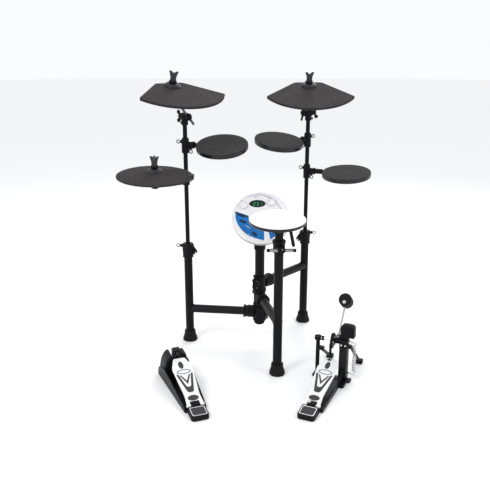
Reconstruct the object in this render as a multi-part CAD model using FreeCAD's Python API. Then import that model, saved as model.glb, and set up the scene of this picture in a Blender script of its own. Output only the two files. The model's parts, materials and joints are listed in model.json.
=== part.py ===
"""Electronic drum kit: folding rack, seven pads, sound module and two pedals. Millimetres, +Z up.

The kit is laid out about the centre post's axis, with the player on the -Y side, and then moved so
that the origin is the middle of the bottom of its bounding box.
"""
import FreeCAD, Part
import math
import os

V = FreeCAD.Vector
X, Y, Z = V(1, 0, 0), V(0, 1, 0), V(0, 0, 1)
O = V(0, 0, 0)

# ---- driving dimensions ------------------------------------------------------------------------
GAP = 0.3                 # clearance between pieces that move on each other
TUBE_R = 16.0             # leg tubes and horizontal bars
TUBE_BORE = 14.3
POST_R = 18.0             # centre post
POST_LOW, POST_HIGH = 96.0, 410.0
SLEEVE_R = 22.5           # plastic clamp joints on the centre post
POLE_R = 8.0              # upper poles
STEM_R = 4.5              # cymbal stems
SNARE_POST_R = 14.0
PAD_R = 95.0              # 7.5 inch drum pads
CRASH_R = 184.0
CRASH_THICK = 10.0
HAT_R = 134.0
MODULE_R = 108.0
FOOT_H = 42.0

# Each arm: where its leg stands, the height of its bar, its sleeve's height range, its leg's top.
ARMS = {
    "left": dict(leg=V(-274, 33, 0), bar_z=133.0, sleeve=(99.0, 158.0), top=392.0),
    "right": dict(leg=V(190, 219, 0), bar_z=250.0, sleeve=(226.0, 280.0), top=392.0),
    "front": dict(leg=V(58, -256, 0), bar_z=198.0, sleeve=(163.0, 222.0), top=470.0),
}
POLE_TOP = {"left": 860.0, "right": 858.0}
POLE_BOTTOM = 240.0
TILTER_RISE = 15.0        # the tilter's barrel above the pole's top
STEM_OFFSET = 20.0        # the cymbal stem beside the tilter's centre
SNARE_TOP = V(52, -250, 567)
SNARE_TILT = 6.0
SNARE_HINGE_Z = 538.0
MODULE_CENTRE = V(4, -40, 521)
MODULE_TILT = 47.0
MODULE_TURN = 11.5        # the module's face turned in its own plane
MODULE_HINGE = V(4, -4, 486)
DISPLAY = (61.0, 32.0)     # the display's oval window
DISPLAY_AT = V(-3, 57, 0)
DISPLAY_TURN = -10.5
KNOB_AT = {"left": V(-54, 58, 0), "right": V(47, 49, 0)}
HAT_CENTRE = V(-372, -95, 692)
HAT_CLAMP_Z = 641.0
HAT_TILT = 5.0

# Each tom: its mast, the centre of its pad and its tilt towards the player in degrees.
TOMS = {
    "left_tom": dict(mast="left", centre=V(-139, 13, 773), tilt=16.0),
    "right_tom_upper": dict(mast="right", centre=V(75, 165, 770), tilt=13.0),
    "right_tom_lower": dict(mast="right", centre=V(339, 159, 646), tilt=8.5),
}
# Each crash pad: the centre of its mounting hole, its slopes along X and Y, the yaw of its arc.
CRASHES = {
    "left": dict(at=V(-307, -31, 985), slope=(-0.171, 0.289), yaw=32.0, side=-1, nut_turn=58.0),
    "right": dict(at=V(183, 154, 978), slope=(0.0, 0.404), yaw=0.0, side=1, nut_turn=0.0),
}
HAT_PEDAL = dict(heel=V(-192, -564, 0), turn=20.3)
KICK_PEDAL = dict(heel=V(130, -562, 0), turn=-24.5)
HINGE_Y = 62.0            # the footboard's hinge behind the heel's edge
HINGE_Z = 22.0
BOARD_LENGTH = 214.0
BOARD_SLOPE = 18.0        # degrees, at rest
AXLE_Y, AXLE_Z = 298.0, 146.0
CAM_R = 34.0
BEATER_LEAN = 37.0        # degrees from upright, at rest
BEATER_REACH = 144.0      # from the axle to the middle of the beater's head
SPRING_X, SPRING_Y = 67.0, 14.0   # the return spring beside the tower, from the axle
CRANK_DROP = 4.0          # the crank's pin below the axle, at rest

parts = {}


# ---- small tools -------------------------------------------------------------------------------
def rod(radius, start, end):
    """A solid cylinder from one point to another."""
    return Part.makeCylinder(radius, start.distanceToPoint(end), start, end.sub(start))


def pipe(radius, bore, start, end):
    return rod(radius, start, end).cut(rod(bore, start, end))


def block(size, centre):
    """A box by its size and its centre."""
    return Part.makeBox(size[0], size[1], size[2], centre - V(size[0], size[1], size[2]) * 0.5)


def soft_block(size, centre, radius):
    """A box with every edge rounded."""
    shape = block(size, centre)
    return shape.makeFillet(radius, shape.Edges)


def turned(profile, at=O):
    """A solid of revolution about the vertical through a point, from (radius, height) points."""
    points = [V(r, 0, z) for r, z in profile]
    face = Part.Face(Part.makePolygon(points + points[:1]))
    solid = face.revolve(O, Z, 360)
    solid.translate(at)
    return solid


def union(shapes):
    whole = shapes[0].fuse(shapes[1:]) if len(shapes) > 1 else shapes[0]
    return whole.removeSplitter()


def placed(shape, place):
    copy = shape.copy()
    copy.Placement = place.multiply(copy.Placement)
    return copy


def group(shapes):
    return Part.makeCompound(shapes)


def separate(shapes):
    """The shapes as solids that only touch: each gives way to the ones before it."""
    whole = []
    for shape in shapes:
        for other in whole:
            shape = shape.cut(other)
        whole.append(shape)
    return group([solid for shape in whole for solid in shape.Solids])


def add(node, shape, place=None):
    parts[node] = placed(shape, place) if place else shape


def facing(at, along):
    """A placement at a point whose X axis points along a level direction."""
    return FreeCAD.Placement(at, FreeCAD.Rotation(Z, math.degrees(math.atan2(along.y, along.x))))


def level(vector):
    return V(vector.x, vector.y, 0).normalize()


def frame_from(at, x_axis, y_axis):
    z_axis = x_axis.cross(y_axis)
    matrix = FreeCAD.Matrix(
        x_axis.x, y_axis.x, z_axis.x, at.x,
        x_axis.y, y_axis.y, z_axis.y, at.y,
        x_axis.z, y_axis.z, z_axis.z, at.z,
        0, 0, 0, 1)
    return FreeCAD.Placement(matrix)


def ring_bolt(start, direction, reach, across):
    """A clamp screw with a small ring for a head; the ring's plane holds both directions."""
    shaft = rod(2.5, start, start + direction * reach)
    centre = start + direction * (reach + 5.5)
    ring = Part.makeTorus(6.0, 1.8, centre, direction.cross(across))
    return union([shaft, ring])


def wing_nut(at, direction, across, span):
    """A hub with two round lobes, on a screw that comes out along direction."""
    hub = rod(6.5, at, at + direction * 12)
    shapes = [hub]
    for side in (-1, 1):
        lobe = at + direction * 14 + across * (side * span * 0.34)
        thick = direction.cross(across) * 3.5
        shapes.append(rod(span * 0.17, lobe - thick, lobe + thick))
        shapes.append(rod(4.0, at + direction * 7, lobe))
    return union(shapes)


# ---- rack --------------------------------------------------------------------------------------
def make_centre():
    tube = pipe(POST_R, POST_R - 2, V(0, 0, POST_LOW), V(0, 0, POST_HIGH - 8))
    bottom = turned([(0, 82), (12, 82), (19, 86), (21.5, 92), (21.5, POST_LOW), (0, POST_LOW)])
    cap = turned([(0, POST_HIGH + 6), (20, POST_HIGH + 6), (22, POST_HIGH + 3), (22, POST_HIGH - 22),
                  (20.5, POST_HIGH - 26), (POST_R, POST_HIGH - 26), (POST_R, POST_HIGH - 8),
                  (0, POST_HIGH - 8)])
    add("centre_post", group([tube, bottom, cap]))


def make_module_mount():
    """A stub on the post's cap with two ears and a hinge pin for the module's tongue."""
    foot = POST_HIGH + 6
    hinge = MODULE_HINGE
    neck_top = hinge.z - 22
    stub = turned([(0, foot), (16, foot), (16, foot + 4), (11, foot + 8), (11, neck_top), (0, neck_top)])
    yoke = block((34, 18, 8), V(hinge.x, hinge.y, hinge.z - 20))
    neck = block((18, 18, 14), V(2, -2, neck_top - 5))
    ears = []
    for side in (-1, 1):
        ear = block((6, 18, 20), V(hinge.x + side * 14, hinge.y, hinge.z - 8))
        ears.append(ear.fuse(rod(9, ear.CenterOfMass + V(-3, 0, 8), ear.CenterOfMass + V(3, 0, 8))))
    pin = rod(4.0, hinge - X * 19, hinge + X * 19)
    heads = [rod(6.5, hinge + X * s * 17, hinge + X * s * 21) for s in (-1, 1)]
    add("module_mount", union([stub, neck, yoke] + ears + [pin] + heads))


def make_arm(name, arm):
    reach = math.hypot(arm["leg"].x, arm["leg"].y)
    place = facing(O, arm["leg"])
    low, high = arm["sleeve"]
    bar_z, top = arm["bar_z"], arm["top"]
    bar_from = V(30, 0, bar_z)

    sleeve = rod(SLEEVE_R, V(0, 0, low), V(0, 0, high))
    branch = rod(SLEEVE_R, V(0, 0, bar_z), V(60, 0, bar_z))
    rings = [rod(SLEEVE_R + 3, V(0, 0, low), V(0, 0, low + 5)),
             rod(SLEEVE_R + 3, V(0, 0, high - 5), V(0, 0, high)),
             rod(SLEEVE_R + 3, V(55, 0, bar_z), V(61, 0, bar_z)),
             rod(SLEEVE_R + 2, V(38, 0, bar_z), V(42, 0, bar_z))]
    lug = block((15, 16, 30), V(-SLEEVE_R - 4, 0, (low + high) / 2))
    body = union([sleeve, branch, lug] + rings)
    body = body.cut(rod(POST_R + GAP, V(0, 0, low - 1), V(0, 0, high + 1)))
    body = body.cut(rod(TUBE_R, bar_from, V(80, 0, bar_z)))
    screw = rod(3, V(-SLEEVE_R - 5, -8, bar_z + 8), V(-SLEEVE_R - 5, -15, bar_z + 8))
    knob = rod(8, V(-SLEEVE_R - 5, -15, bar_z + 8), V(-SLEEVE_R - 5, -22, bar_z + 8))
    add(name + "_hub_joint", group([body, union([screw, knob])]), place)

    leg = pipe(TUBE_R, TUBE_BORE, V(reach, 0, 8), V(reach, 0, top))
    bar = pipe(TUBE_R, TUBE_BORE, bar_from, V(reach, 0, bar_z))
    bar = bar.cut(rod(TUBE_R, V(reach, 0, 8), V(reach, 0, top)))
    add(name + "_leg_frame", group([leg, bar]), place)

    foot = turned([(0, 0), (26, 0), (28, 2), (28, 11), (23, 24), (21, 27), (21, FOOT_H),
                   (TUBE_R, FOOT_H), (TUBE_R, 8), (0, 8)], V(reach, 0, 0))
    add(name + "_foot", foot, place)


def make_leg_clamp(name, arm):
    """The reducer at a side leg's top: it grips the tube and guides the thinner pole."""
    at = arm["leg"]
    base = arm["top"] - 46
    bore = POLE_R + GAP
    body = turned([(TUBE_R, base), (20, base), (20.5, base + 20), (22.5, base + 42), (22.5, base + 48),
                   (19, base + 54), (bore, base + 54), (bore, base + 47), (TUBE_R, base + 47)], at)
    turn = FreeCAD.Placement(at, FreeCAD.Rotation(Z, 0 if name == "right" else 180))
    ear = placed(block((10, 12, 10), V(24, 0, base + 45)), turn)
    outline = [V(-15, 0, base + 52), V(-24, 0, base + 40), V(-37, 0, base + 20), V(-35, 0, base + 11),
               V(-27, 0, base + 8), V(-15, 0, base + 12)]
    fin = Part.Face(Part.makePolygon(outline + outline[:1])).extrude(Y * 9)
    fin.translate(Y * -4.5)
    body = union([body, ear, placed(fin, turn)])
    body = body.cut(rod(bore, at + V(0, 0, base + 46), at + V(0, 0, base + 60)))
    body = body.cut(rod(TUBE_R, at + V(0, 0, base - 1), at + V(0, 0, base + 47)))
    upper = placed(ring_bolt(V(29, 0, base + 45), X, 3, Z), turn)
    lower = placed(rod(4.5, V(-30, -8, base + 16), V(-30, -4.5, base + 16)), turn)
    add(name + "_leg_clamp", group([body, upper, lower]))


def make_front_clamp():
    """The collar that grips the snare post, and its T-handle screw on the player's side."""
    at = ARMS["front"]["leg"]
    base = ARMS["front"]["top"] - 18
    bore = SNARE_POST_R + GAP
    collar = turned([(TUBE_R, base), (19.5, base), (20.5, base + 10), (21, base + 30), (23, base + 36),
                     (23, base + 42), (20, base + 44), (bore, base + 44), (bore, base + 19),
                     (TUBE_R, base + 19)], at)
    handle_at = V(at.x + 6, at.y, base + 19)
    boss = block((22, 16, 20), V(handle_at.x, at.y - 26, handle_at.z))
    body = union([collar, boss])
    body = body.cut(rod(bore, at + V(0, 0, base + 18), at + V(0, 0, base + 46)))
    body = body.cut(rod(TUBE_R, at + V(0, 0, base - 1), at + V(0, 0, base + 19)))
    start = V(handle_at.x, at.y - 34, handle_at.z)
    body = body.cut(rod(4 + 0.05, start + Y * 10, start - Y * 1))
    add("front_leg_clamp", body)
    screw = rod(4, start + Y * 10, start - Y * 6)
    hub = rod(12, start - Y * 0.5, start - Y * 12)
    bar = rod(6, start - Y * 7 - X * 49, start - Y * 7 + X * 49)
    handle = union([screw, hub, bar])
    handle.rotate(start, Y, -3)
    add("tee_handle", handle)


# ---- masts and their clamps --------------------------------------------------------------------
def make_mast(name):
    at = ARMS[name]["leg"]
    top = POLE_TOP[name]
    add(name + "_pole", pipe(POLE_R, POLE_R - 1.5, at + V(0, 0, POLE_BOTTOM), at + V(0, 0, top)))


def stem_frame(name):
    """The tilter's placement: its X axis points from the pole to the stem, across the stem."""
    crash = CRASHES[name]
    pole = ARMS[name]["leg"] + V(0, 0, POLE_TOP[name] + TILTER_RISE)
    away = level(crash["at"] - pole)
    distance = math.hypot(crash["at"].x - pole.x, crash["at"].y - pole.y)
    swing = math.degrees(math.acos(STEM_OFFSET / distance))
    heading = math.degrees(math.atan2(away.y, away.x)) + swing * crash["side"] * -1
    return FreeCAD.Placement(pole, FreeCAD.Rotation(Z, heading))


def make_tilter(name):
    place = stem_frame(name)
    socket = turned([(0, -30), (12.5, -30), (12.5, -10), (9, -4), (0, -4)])
    socket = socket.cut(rod(POLE_R, V(0, 0, -31), V(0, 0, -TILTER_RISE)))
    barrel = rod(13, V(-16, 0, 0), V(9, 0, 0))
    rings = [rod(14.5, V(-10, 0, 0), V(-6, 0, 0)), rod(14.5, V(4, 0, 0), V(9, 0, 0))]
    body = union([socket, barrel] + rings)
    body = body.cut(rod(3.05, V(-30, 0, 0), V(10, 0, 0)))
    nut = wing_nut(V(-18, 0, 0), V(-1, 0, 0), Z, 44)
    nut = nut.cut(rod(3.05, V(-31, 0, 0), V(-17, 0, 0)))
    add(name + "_tilter", group([body, nut]), place)


def crash_frame(name):
    crash = CRASHES[name]
    sx, sy = crash["slope"]
    normal = V(-sx, -sy, 1).normalize()
    yaw = math.radians(crash["yaw"])
    front = V(math.sin(yaw), -math.cos(yaw), 0)
    back = (front - normal * front.dot(normal)).normalize() * -1
    return frame_from(crash["at"], back.cross(normal), back)


def make_crash(name):
    place = crash_frame(name)
    tilter = stem_frame(name)
    eye = tilter.multVec(V(STEM_OFFSET, 0, 0))
    bend = place.multVec(V(0, 0, -30))
    run = (bend - eye).normalize()
    tail = eye - run * 36
    tip = place.multVec(V(0, 0, 48))
    axis = tilter.Rotation.multVec(X)
    stem = union([rod(STEM_R, tail, bend), Part.makeSphere(STEM_R, bend), rod(STEM_R, bend, tip)])
    disc = rod(12, eye - axis * 7, eye + axis * 7)
    screw = rod(3, eye - axis * 46, eye - axis * 5)
    eye_piece = disc.fuse(screw).cut(rod(STEM_R, tail - run, bend))
    cup = turned([(STEM_R, -28), (8, -28), (15, -20), (15, -14.6), (STEM_R, -14.6)])
    add(name + "_crash_rod", group([stem, eye_piece, placed(cup, place)]))

    half_angle = math.radians(61)
    tip_x, tip_y = CRASH_R * math.sin(half_angle), -CRASH_R * math.cos(half_angle)
    tips = [V(-tip_x, tip_y, 0), V(tip_x, tip_y, 0)]
    back = [V(51, 30, 0), V(-51, 30, 0)]
    edges = [Part.Arc(tips[0], V(0, -CRASH_R, 0), tips[1]).toShape(),
             Part.LineSegment(tips[1], back[0]).toShape(),
             Part.LineSegment(back[0], back[1]).toShape(),
             Part.LineSegment(back[1], tips[0]).toShape()]
    slab = Part.Face(Part.Wire(edges)).extrude(Z * -CRASH_THICK)
    upright = [e for e in slab.Edges if abs(e.tangentAt(e.FirstParameter).z) > 0.99]
    slab = slab.makeFillet(9, upright)
    dome = turned([(0, -4), (29, -4), (27, 5), (22, 9.5), (0, 9.5)])
    boss = turned([(0, -13), (18, -13), (20, -8), (0, -8)])
    jack_box = soft_block((44, 34, 16), V(0, -78, -CRASH_THICK - 6), 3)
    pad = union([slab, dome, boss, jack_box]).cut(rod(7.5, V(0, 0, -30), V(0, 0, 30)))
    add(name + "_crash_pad", pad, place)
    nut_place = place.multiply(FreeCAD.Placement(O, FreeCAD.Rotation(Z, CRASHES[name]["nut_turn"])))
    add(name + "_crash_topper", topper(11.2), nut_place)


def topper(base):
    """A two-eared rubber wing nut with a V notch, standing on a collar."""
    collar = turned([(STEM_R, base), (13.5, base), (14, base + 5), (11.5, base + 10), (STEM_R, base + 10)])
    outline = [V(-10, 0, base + 9), V(-11, 0, base + 24), V(-17, 0, base + 42), V(-8, 0, base + 41),
               V(0, 0, base + 33), V(8, 0, base + 41), V(17, 0, base + 42), V(11, 0, base + 24),
               V(10, 0, base + 9)]
    ears = Part.Face(Part.makePolygon(outline + outline[:1])).extrude(Y * 15)
    ears.translate(Y * -7.5)
    neck = turned([(0, base + 9), (11, base + 9), (9, base + 28), (0, base + 28)])
    shape = union([collar, ears, neck])
    return shape.cut(rod(STEM_R, V(0, 0, base - 1), V(0, 0, base + 50)))


def make_tom(name, tom):
    mast = ARMS[tom["mast"]]["leg"]
    centre = tom["centre"]
    out = level(centre - mast)
    distance = math.hypot(centre.x - mast.x, centre.y - mast.y)
    clamp_place = facing(V(mast.x, mast.y, centre.z), out)
    reach = min(34.0, distance - PAD_R - 5)
    bore = POLE_R + GAP

    sleeve = turned([(0, -30), (12.5, -30), (13.5, -20), (13.5, 18), (12.5, 26), (0, 26)])
    branch = rod(12, O, V(reach, 0, 0))
    collar = rod(13.5, V(reach - 5, 0, 0), V(reach, 0, 0))
    body = union([sleeve, branch, collar])
    body = body.cut(rod(bore, V(0, 0, -40), V(0, 0, 40)))
    body = body.cut(rod(6.3, V(11, 0, 0), V(reach + 1, 0, 0)))
    upper = ring_bolt(V(-12, 0, 12), V(-1, 0, 0), 8, Z).cut(body)
    lower = ring_bolt(V(20, 0, -10), V(0, 0, -1), 8.5, X).cut(body)
    add(name + "_clamp", group([body, upper, lower]), clamp_place)

    toward_player = FreeCAD.Rotation(X, tom["tilt"] if out.x > 0 else -tom["tilt"])
    pad_place = clamp_place.multiply(FreeCAD.Placement(V(distance, 0, 0), toward_player))
    rim_at = -PAD_R
    arm = rod(6, V(12.5 - distance, 0, 0), V(rim_at + 22, 0, 0))
    stop = rod(10, V(reach - distance + 0.6, 0, 0), V(rim_at - 1.5, 0, 0))
    add(name + "_arm", union([arm, stop]), pad_place)
    add_pad(name, pad_place, rim_at, 1 if out.x > 0 else -1)


def add_pad(name, place, rim_at, back):
    """A pad's casing with its jack socket, sensor plate, foam and piezo disc, and its rubber head."""
    casing = turned([(0, -14), (PAD_R - 3, -14), (PAD_R, -11), (PAD_R, 2.5), (PAD_R - 1, 3.5),
                     (PAD_R - 3.5, 3.5), (PAD_R - 3.5, -11), (0, -11)])
    boss = rod(9.5, V(rim_at + 3, 0, -1), V(rim_at + 24, 0, -1)).common(block((60, 60, 14), V(rim_at, 0, -7)))
    jack = soft_block((26, 30, 14), V(0, back * 50, -20.5), 2.5)
    casing = union([casing, boss, jack]).cut(rod(6, V(rim_at - 20, 0, 0), V(rim_at + 22, 0, 0)))
    casing = casing.cut(rod(4.5, V(0, back * 62, -20.5), V(0, back * 70, -20.5)))
    plate = Part.makeCylinder(PAD_R - 9, 1.5, V(0, 0, -1.5)).cut(block((60, 40, 10), V(rim_at, 0, 0)))
    foam = Part.makeCylinder(16, 8.7, V(0, 0, -11))
    piezo = Part.makeCylinder(17, 0.8, V(0, 0, -2.3))
    add(name + "_shell", group([casing, plate, foam, piezo]), place)
    head = turned([(0, 0), (PAD_R - 9, 0), (PAD_R - 9, 3.5), (PAD_R - 0.5, 3.5), (PAD_R - 0.5, 4.5),
                   (PAD_R - 2, 6), (0, 6)])
    head = head.cut(rod(6, V(rim_at - 20, 0, 0), V(rim_at + 22, 0, 0)))
    add(name + "_head", head, place)


# ---- hi-hat pad --------------------------------------------------------------------------------
def make_hat():
    mast = ARMS["left"]["leg"]
    clamp_at = V(mast.x, mast.y, HAT_CLAMP_Z)
    out = level(HAT_CENTRE - mast)
    distance = math.hypot(HAT_CENTRE.x - mast.x, HAT_CENTRE.y - mast.y)
    place = facing(clamp_at, out)
    tilt_axis = V(math.cos(math.radians(-3)), math.sin(math.radians(-3)), 0)
    hat_place = FreeCAD.Placement(HAT_CENTRE, FreeCAD.Rotation(tilt_axis, HAT_TILT))
    hat_place = hat_place.multiply(FreeCAD.Placement(O, FreeCAD.Rotation(Y, 2)))

    sleeve = turned([(0, -16), (13, -16), (13.5, -10), (13.5, 14), (12, 18), (0, 18)])
    web = [V(8, 0, 12), V(distance - 12, 0, 12), V(distance, 0, 4), V(distance, 0, -2), V(8, 0, -12)]
    plate = Part.Face(Part.makePolygon(web + web[:1])).extrude(Y * 12)
    plate.translate(Y * -6)
    boss = Part.makeCylinder(11, 18, V(distance, 0, -4))
    arm = union([sleeve, plate, boss]).cut(rod(POLE_R + GAP, V(0, 0, -30), V(0, 0, 30)))
    screw = ring_bolt(V(-12, 0, 0), V(-1, 0, 0), 7, Z).cut(sleeve)
    foot = place.multVec(V(distance, 0, 8))
    bend = hat_place.multVec(V(0, 0, -24))
    tip = hat_place.multVec(V(0, 0, 62))
    stem = union([rod(STEM_R, foot, bend), Part.makeSphere(STEM_R, bend), rod(STEM_R, bend, tip)])
    cup = turned([(STEM_R, -22), (9, -22), (15, -15), (15, -8.4), (STEM_R, -8.4)])
    bracket = placed(arm, place).cut(stem)
    bolt = placed(rod(5, V(distance + 11, 0, 3), V(distance + 15, 0, 3)), place)
    add("hat_bracket", group([bracket, placed(screw, place), stem, placed(cup, hat_place), bolt]))

    pad = turned([(7.5, 16), (20, 15.5), (27, 9), (30, 5), (70, 1), (124, -5), (HAT_R, -8),
                  (HAT_R, -13), (HAT_R - 4, -14), (120, -11), (60, -6), (7.5, -6)])
    jack_box = soft_block((26, 34, 15), V(HAT_R - 10, 8, -12), 3)
    add("hat_pad", union([pad, jack_box]), hat_place)
    add("hat_topper", topper(18.0), hat_place)


# ---- snare -------------------------------------------------------------------------------------
def make_snare():
    leg = ARMS["front"]["leg"]
    hinge = V(leg.x, leg.y, SNARE_HINGE_Z)
    base = hinge.z - 22
    tube = pipe(SNARE_POST_R, SNARE_POST_R - 2, V(leg.x, leg.y, 300), V(leg.x, leg.y, base))
    cap = turned([(0, base), (15.5, base), (15.5, base + 5), (0, base + 5)], V(leg.x, leg.y, 0))
    ears = []
    for side in (-1, 1):
        ear = block((6, 16, 20), hinge + V(side * 12, 0, -9))
        ears.append(ear)
        ears.append(rod(8, hinge + X * (side * 12 - 3), hinge + X * (side * 12 + 3)))
    pin = rod(3.5, hinge - X * 18, hinge + X * 18)
    add("snare_post", group([tube, union([cap, pin] + ears)]))

    place = FreeCAD.Placement(SNARE_TOP, FreeCAD.Rotation(X, SNARE_TILT))
    hinge_in_pad = place.inverse().multVec(hinge)
    casing = turned([(0, -16), (74, -16), (PAD_R - 3, -15), (PAD_R + 1, -12.5), (PAD_R + 1, -3.2),
                     (PAD_R - 3, -3.2), (PAD_R - 3, -11), (72, -12), (0, -12)])
    tongue = block((17.2, 15, 16), hinge_in_pad + V(0, 0, 6)).fuse(
        rod(7.5, hinge_in_pad - X * 8.6, hinge_in_pad + X * 8.6))
    tongue = tongue.cut(rod(3.55, hinge_in_pad - X * 10, hinge_in_pad + X * 10))
    lever_top = place.inverse().multVec(V(92, -258, 545))
    lever_end = place.inverse().multVec(V(106, -262, 478))
    lever = union([rod(6, lever_top, lever_end), Part.makeSphere(6, lever_end)])
    lever_boss = soft_block((24, 24, 10), lever_top + V(-2, 0, 1), 2)
    casing = union([casing, tongue, lever_boss, lever])
    plate = Part.makeCylinder(PAD_R - 8, 1.5, V(0, 0, -4.7))
    foam = Part.makeCylinder(16, 5.7, V(0, 0, -12))
    piezo = Part.makeCylinder(17, 0.8, V(0, 0, -5.5))
    add("snare_shell", group([casing, plate, foam, piezo]), place)
    head = turned([(0, -3.2), (PAD_R, -3.2), (PAD_R, -1.2), (PAD_R - 1.5, 0), (0, 0)])
    add("snare_head", head, place)


# ---- module ------------------------------------------------------------------------------------
def button_spots():
    """Centre, length and turn of each oval button."""
    return [
        (V(-71, 20.5, 0), 34.0, -36.0),
        (V(-70, -6, 0), 28.0, -35.0),
        (V(71, -8, 0), 28.0, 62.0),
        (V(65, -36, 0), 24.0, 50.0),
        (V(-39.5, -64, 0), 23.0, -50.0),
        (V(36, -68, 0), 23.0, 30.0),
        (V(-22, -34, 0), 14.0, -20.0),
        (V(22, -34, 0), 14.0, 20.0),
    ]


def oval(length, width, bottom, top):
    """An upright solid with an oval plan."""
    ellipse = Part.Ellipse(O, length / 2, width / 2).toShape()
    solid = Part.Face(Part.Wire(ellipse)).extrude(Z * (top - bottom))
    solid.translate(Z * bottom)
    return solid


def make_module():
    rear_place = FreeCAD.Placement(MODULE_CENTRE, FreeCAD.Rotation(X, MODULE_TILT))
    place = rear_place.multiply(FreeCAD.Placement(O, FreeCAD.Rotation(Z, MODULE_TURN)))
    front = turned([(0, 0), (MODULE_R - 8, 0), (MODULE_R - 2, -2), (MODULE_R, -6), (MODULE_R, -16),
                    (MODULE_R - 3, -16), (MODULE_R - 3, -3.5), (0, -3.5)])
    window_place = FreeCAD.Placement(DISPLAY_AT, FreeCAD.Rotation(Z, DISPLAY_TURN))
    front = front.cut(placed(oval(DISPLAY[0], DISPLAY[1], -10, 5), window_place))
    for at in KNOB_AT.values():
        front = front.cut(rod(3.3, at - Z * 10, at + Z * 5))
    buttons = []
    for at, length, turn in button_spots():
        spot = FreeCAD.Placement(at, FreeCAD.Rotation(Z, turn))
        front = front.cut(placed(oval(length + 0.8, 10.8, -10, 5), spot))
        cap = oval(length, 10, -5, 2.2)
        flange = oval(length + 3, 13, -6, -4)
        buttons.append(placed(union([cap, flange]), spot))
    add("module_front_case", front, place)
    add("module_buttons", group(buttons), place)
    display = oval(DISPLAY[0] - 0.4, DISPLAY[1] - 0.4, -4, -1)
    rim = oval(DISPLAY[0] + 4, DISPLAY[1] + 4, -6, -3.8)
    add("module_display", placed(union([display, rim]), window_place), place)
    for name, at in KNOB_AT.items():
        knob = turned([(0, 0.6), (14, 0.6), (14, 8), (12.5, 10), (0, 10)], at)
        shaft = rod(3.0, at - Z * 9, at + Z * 1)
        add("module_knob_" + name, union([knob, shaft]), place)
    board = Part.makeCylinder(MODULE_R - 14, 1.6, V(0, 0, -12.5))
    chips = [block((16, 12, 1.6), V(a, b, -13.3)) for a, b in ((-30, -8), (22, 4), (4, -30))]
    add("module_circuit_board", union([board] + chips), place)
    rear = turned([(MODULE_R, -16), (MODULE_R, -20), (MODULE_R - 12, -34), (0, -34), (0, -31),
                   (MODULE_R - 14, -31), (MODULE_R - 3, -18.5), (MODULE_R - 3, -16)])
    hinge = rear_place.inverse().multVec(MODULE_HINGE)
    tongue = block((20, 18, abs(hinge.z) - 32), V(hinge.x, hinge.y, (hinge.z - 32) / 2))
    tongue = tongue.fuse(rod(9, hinge - X * 10, hinge + X * 10))
    tongue = tongue.cut(rod(4.05, hinge - X * 12, hinge + X * 12))
    posts = [Part.makeCylinder(4, 19.5, V(60 * math.cos(a), 60 * math.sin(a), -32))
             for a in (0.8, 2.4, 3.9, 5.5)]
    rear = union([rear, tongue] + posts)
    for step in range(5):
        jack = V(-44 + 22 * step, 0, -25)
        depth_from = math.sqrt((MODULE_R - 4.3) ** 2 - jack.x ** 2) - 2.5
        rear = rear.cut(rod(4, jack + Y * depth_from, jack + Y * 120))
    add("module_rear_case", rear, rear_place)


# ---- pedals ------------------------------------------------------------------------------------
def footboard():
    """The pressed-metal footboard, flat, with its hinge end at the origin and its toe along +Y."""
    outline = [V(28, 0, 0), V(25, 42, 0), V(35.5, 165, 0), V(20, BOARD_LENGTH - 2, 0)]
    outline += [V(-p.x, p.y, 0) for p in reversed(outline)]
    plate = Part.Face(Part.makePolygon(outline + outline[:1])).extrude(Z * 4)
    corners = [e for e in plate.Edges if abs(e.tangentAt(e.FirstParameter).z) > 0.99
               and e.CenterOfMass.y > 20]
    plate = plate.makeFillet(7, corners)
    notch = block((31, 30, 20), V(0, 0, 0))
    skirts = [block((3, 120, 9), V(s * 22.5, 114, -3)) for s in (-1, 1)]
    knuckles = [rod(5, V(s * 22 - 6, 0, 0), V(s * 22 + 6, 0, 0)) for s in (-1, 1)]
    board = union([plate.cut(notch)] + skirts + knuckles)
    return board.cut(rod(3.05, V(-40, 0, 0), V(40, 0, 0)))


def heel_plate():
    """The low block under the heel, with a barrel between the footboard's knuckles and a pin."""
    profile = [V(0, 0, 0), V(0, 0, 12), V(0, 6, 17), V(0, HINGE_Y - 8, 22), V(0, HINGE_Y - 8, 0)]
    slab = Part.Face(Part.makePolygon(profile + profile[:1])).extrude(X * 58)
    slab.translate(X * -29)
    corners = [e for e in slab.Edges if abs(e.tangentAt(e.FirstParameter).z) > 0.99
               and e.CenterOfMass.y < 20]
    slab = slab.makeFillet(12, corners)
    under = block((50, 40, 8), V(0, HINGE_Y - 2, 4))
    web = block((28, 14, 16), V(0, HINGE_Y - 4, 14))
    barrel = rod(5.5, V(-14.5, HINGE_Y, HINGE_Z), V(14.5, HINGE_Y, HINGE_Z))
    pin = rod(3, V(-29, HINGE_Y, HINGE_Z), V(29, HINGE_Y, HINGE_Z))
    return union([slab, under, web, barrel, pin])


def board_place(pedal_place):
    local = FreeCAD.Placement(V(0, HINGE_Y, HINGE_Z), FreeCAD.Rotation(X, BOARD_SLOPE))
    return pedal_place.multiply(local)


def pedal_frame(pedal):
    return FreeCAD.Placement(pedal["heel"], FreeCAD.Rotation(Z, pedal["turn"]))


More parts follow.
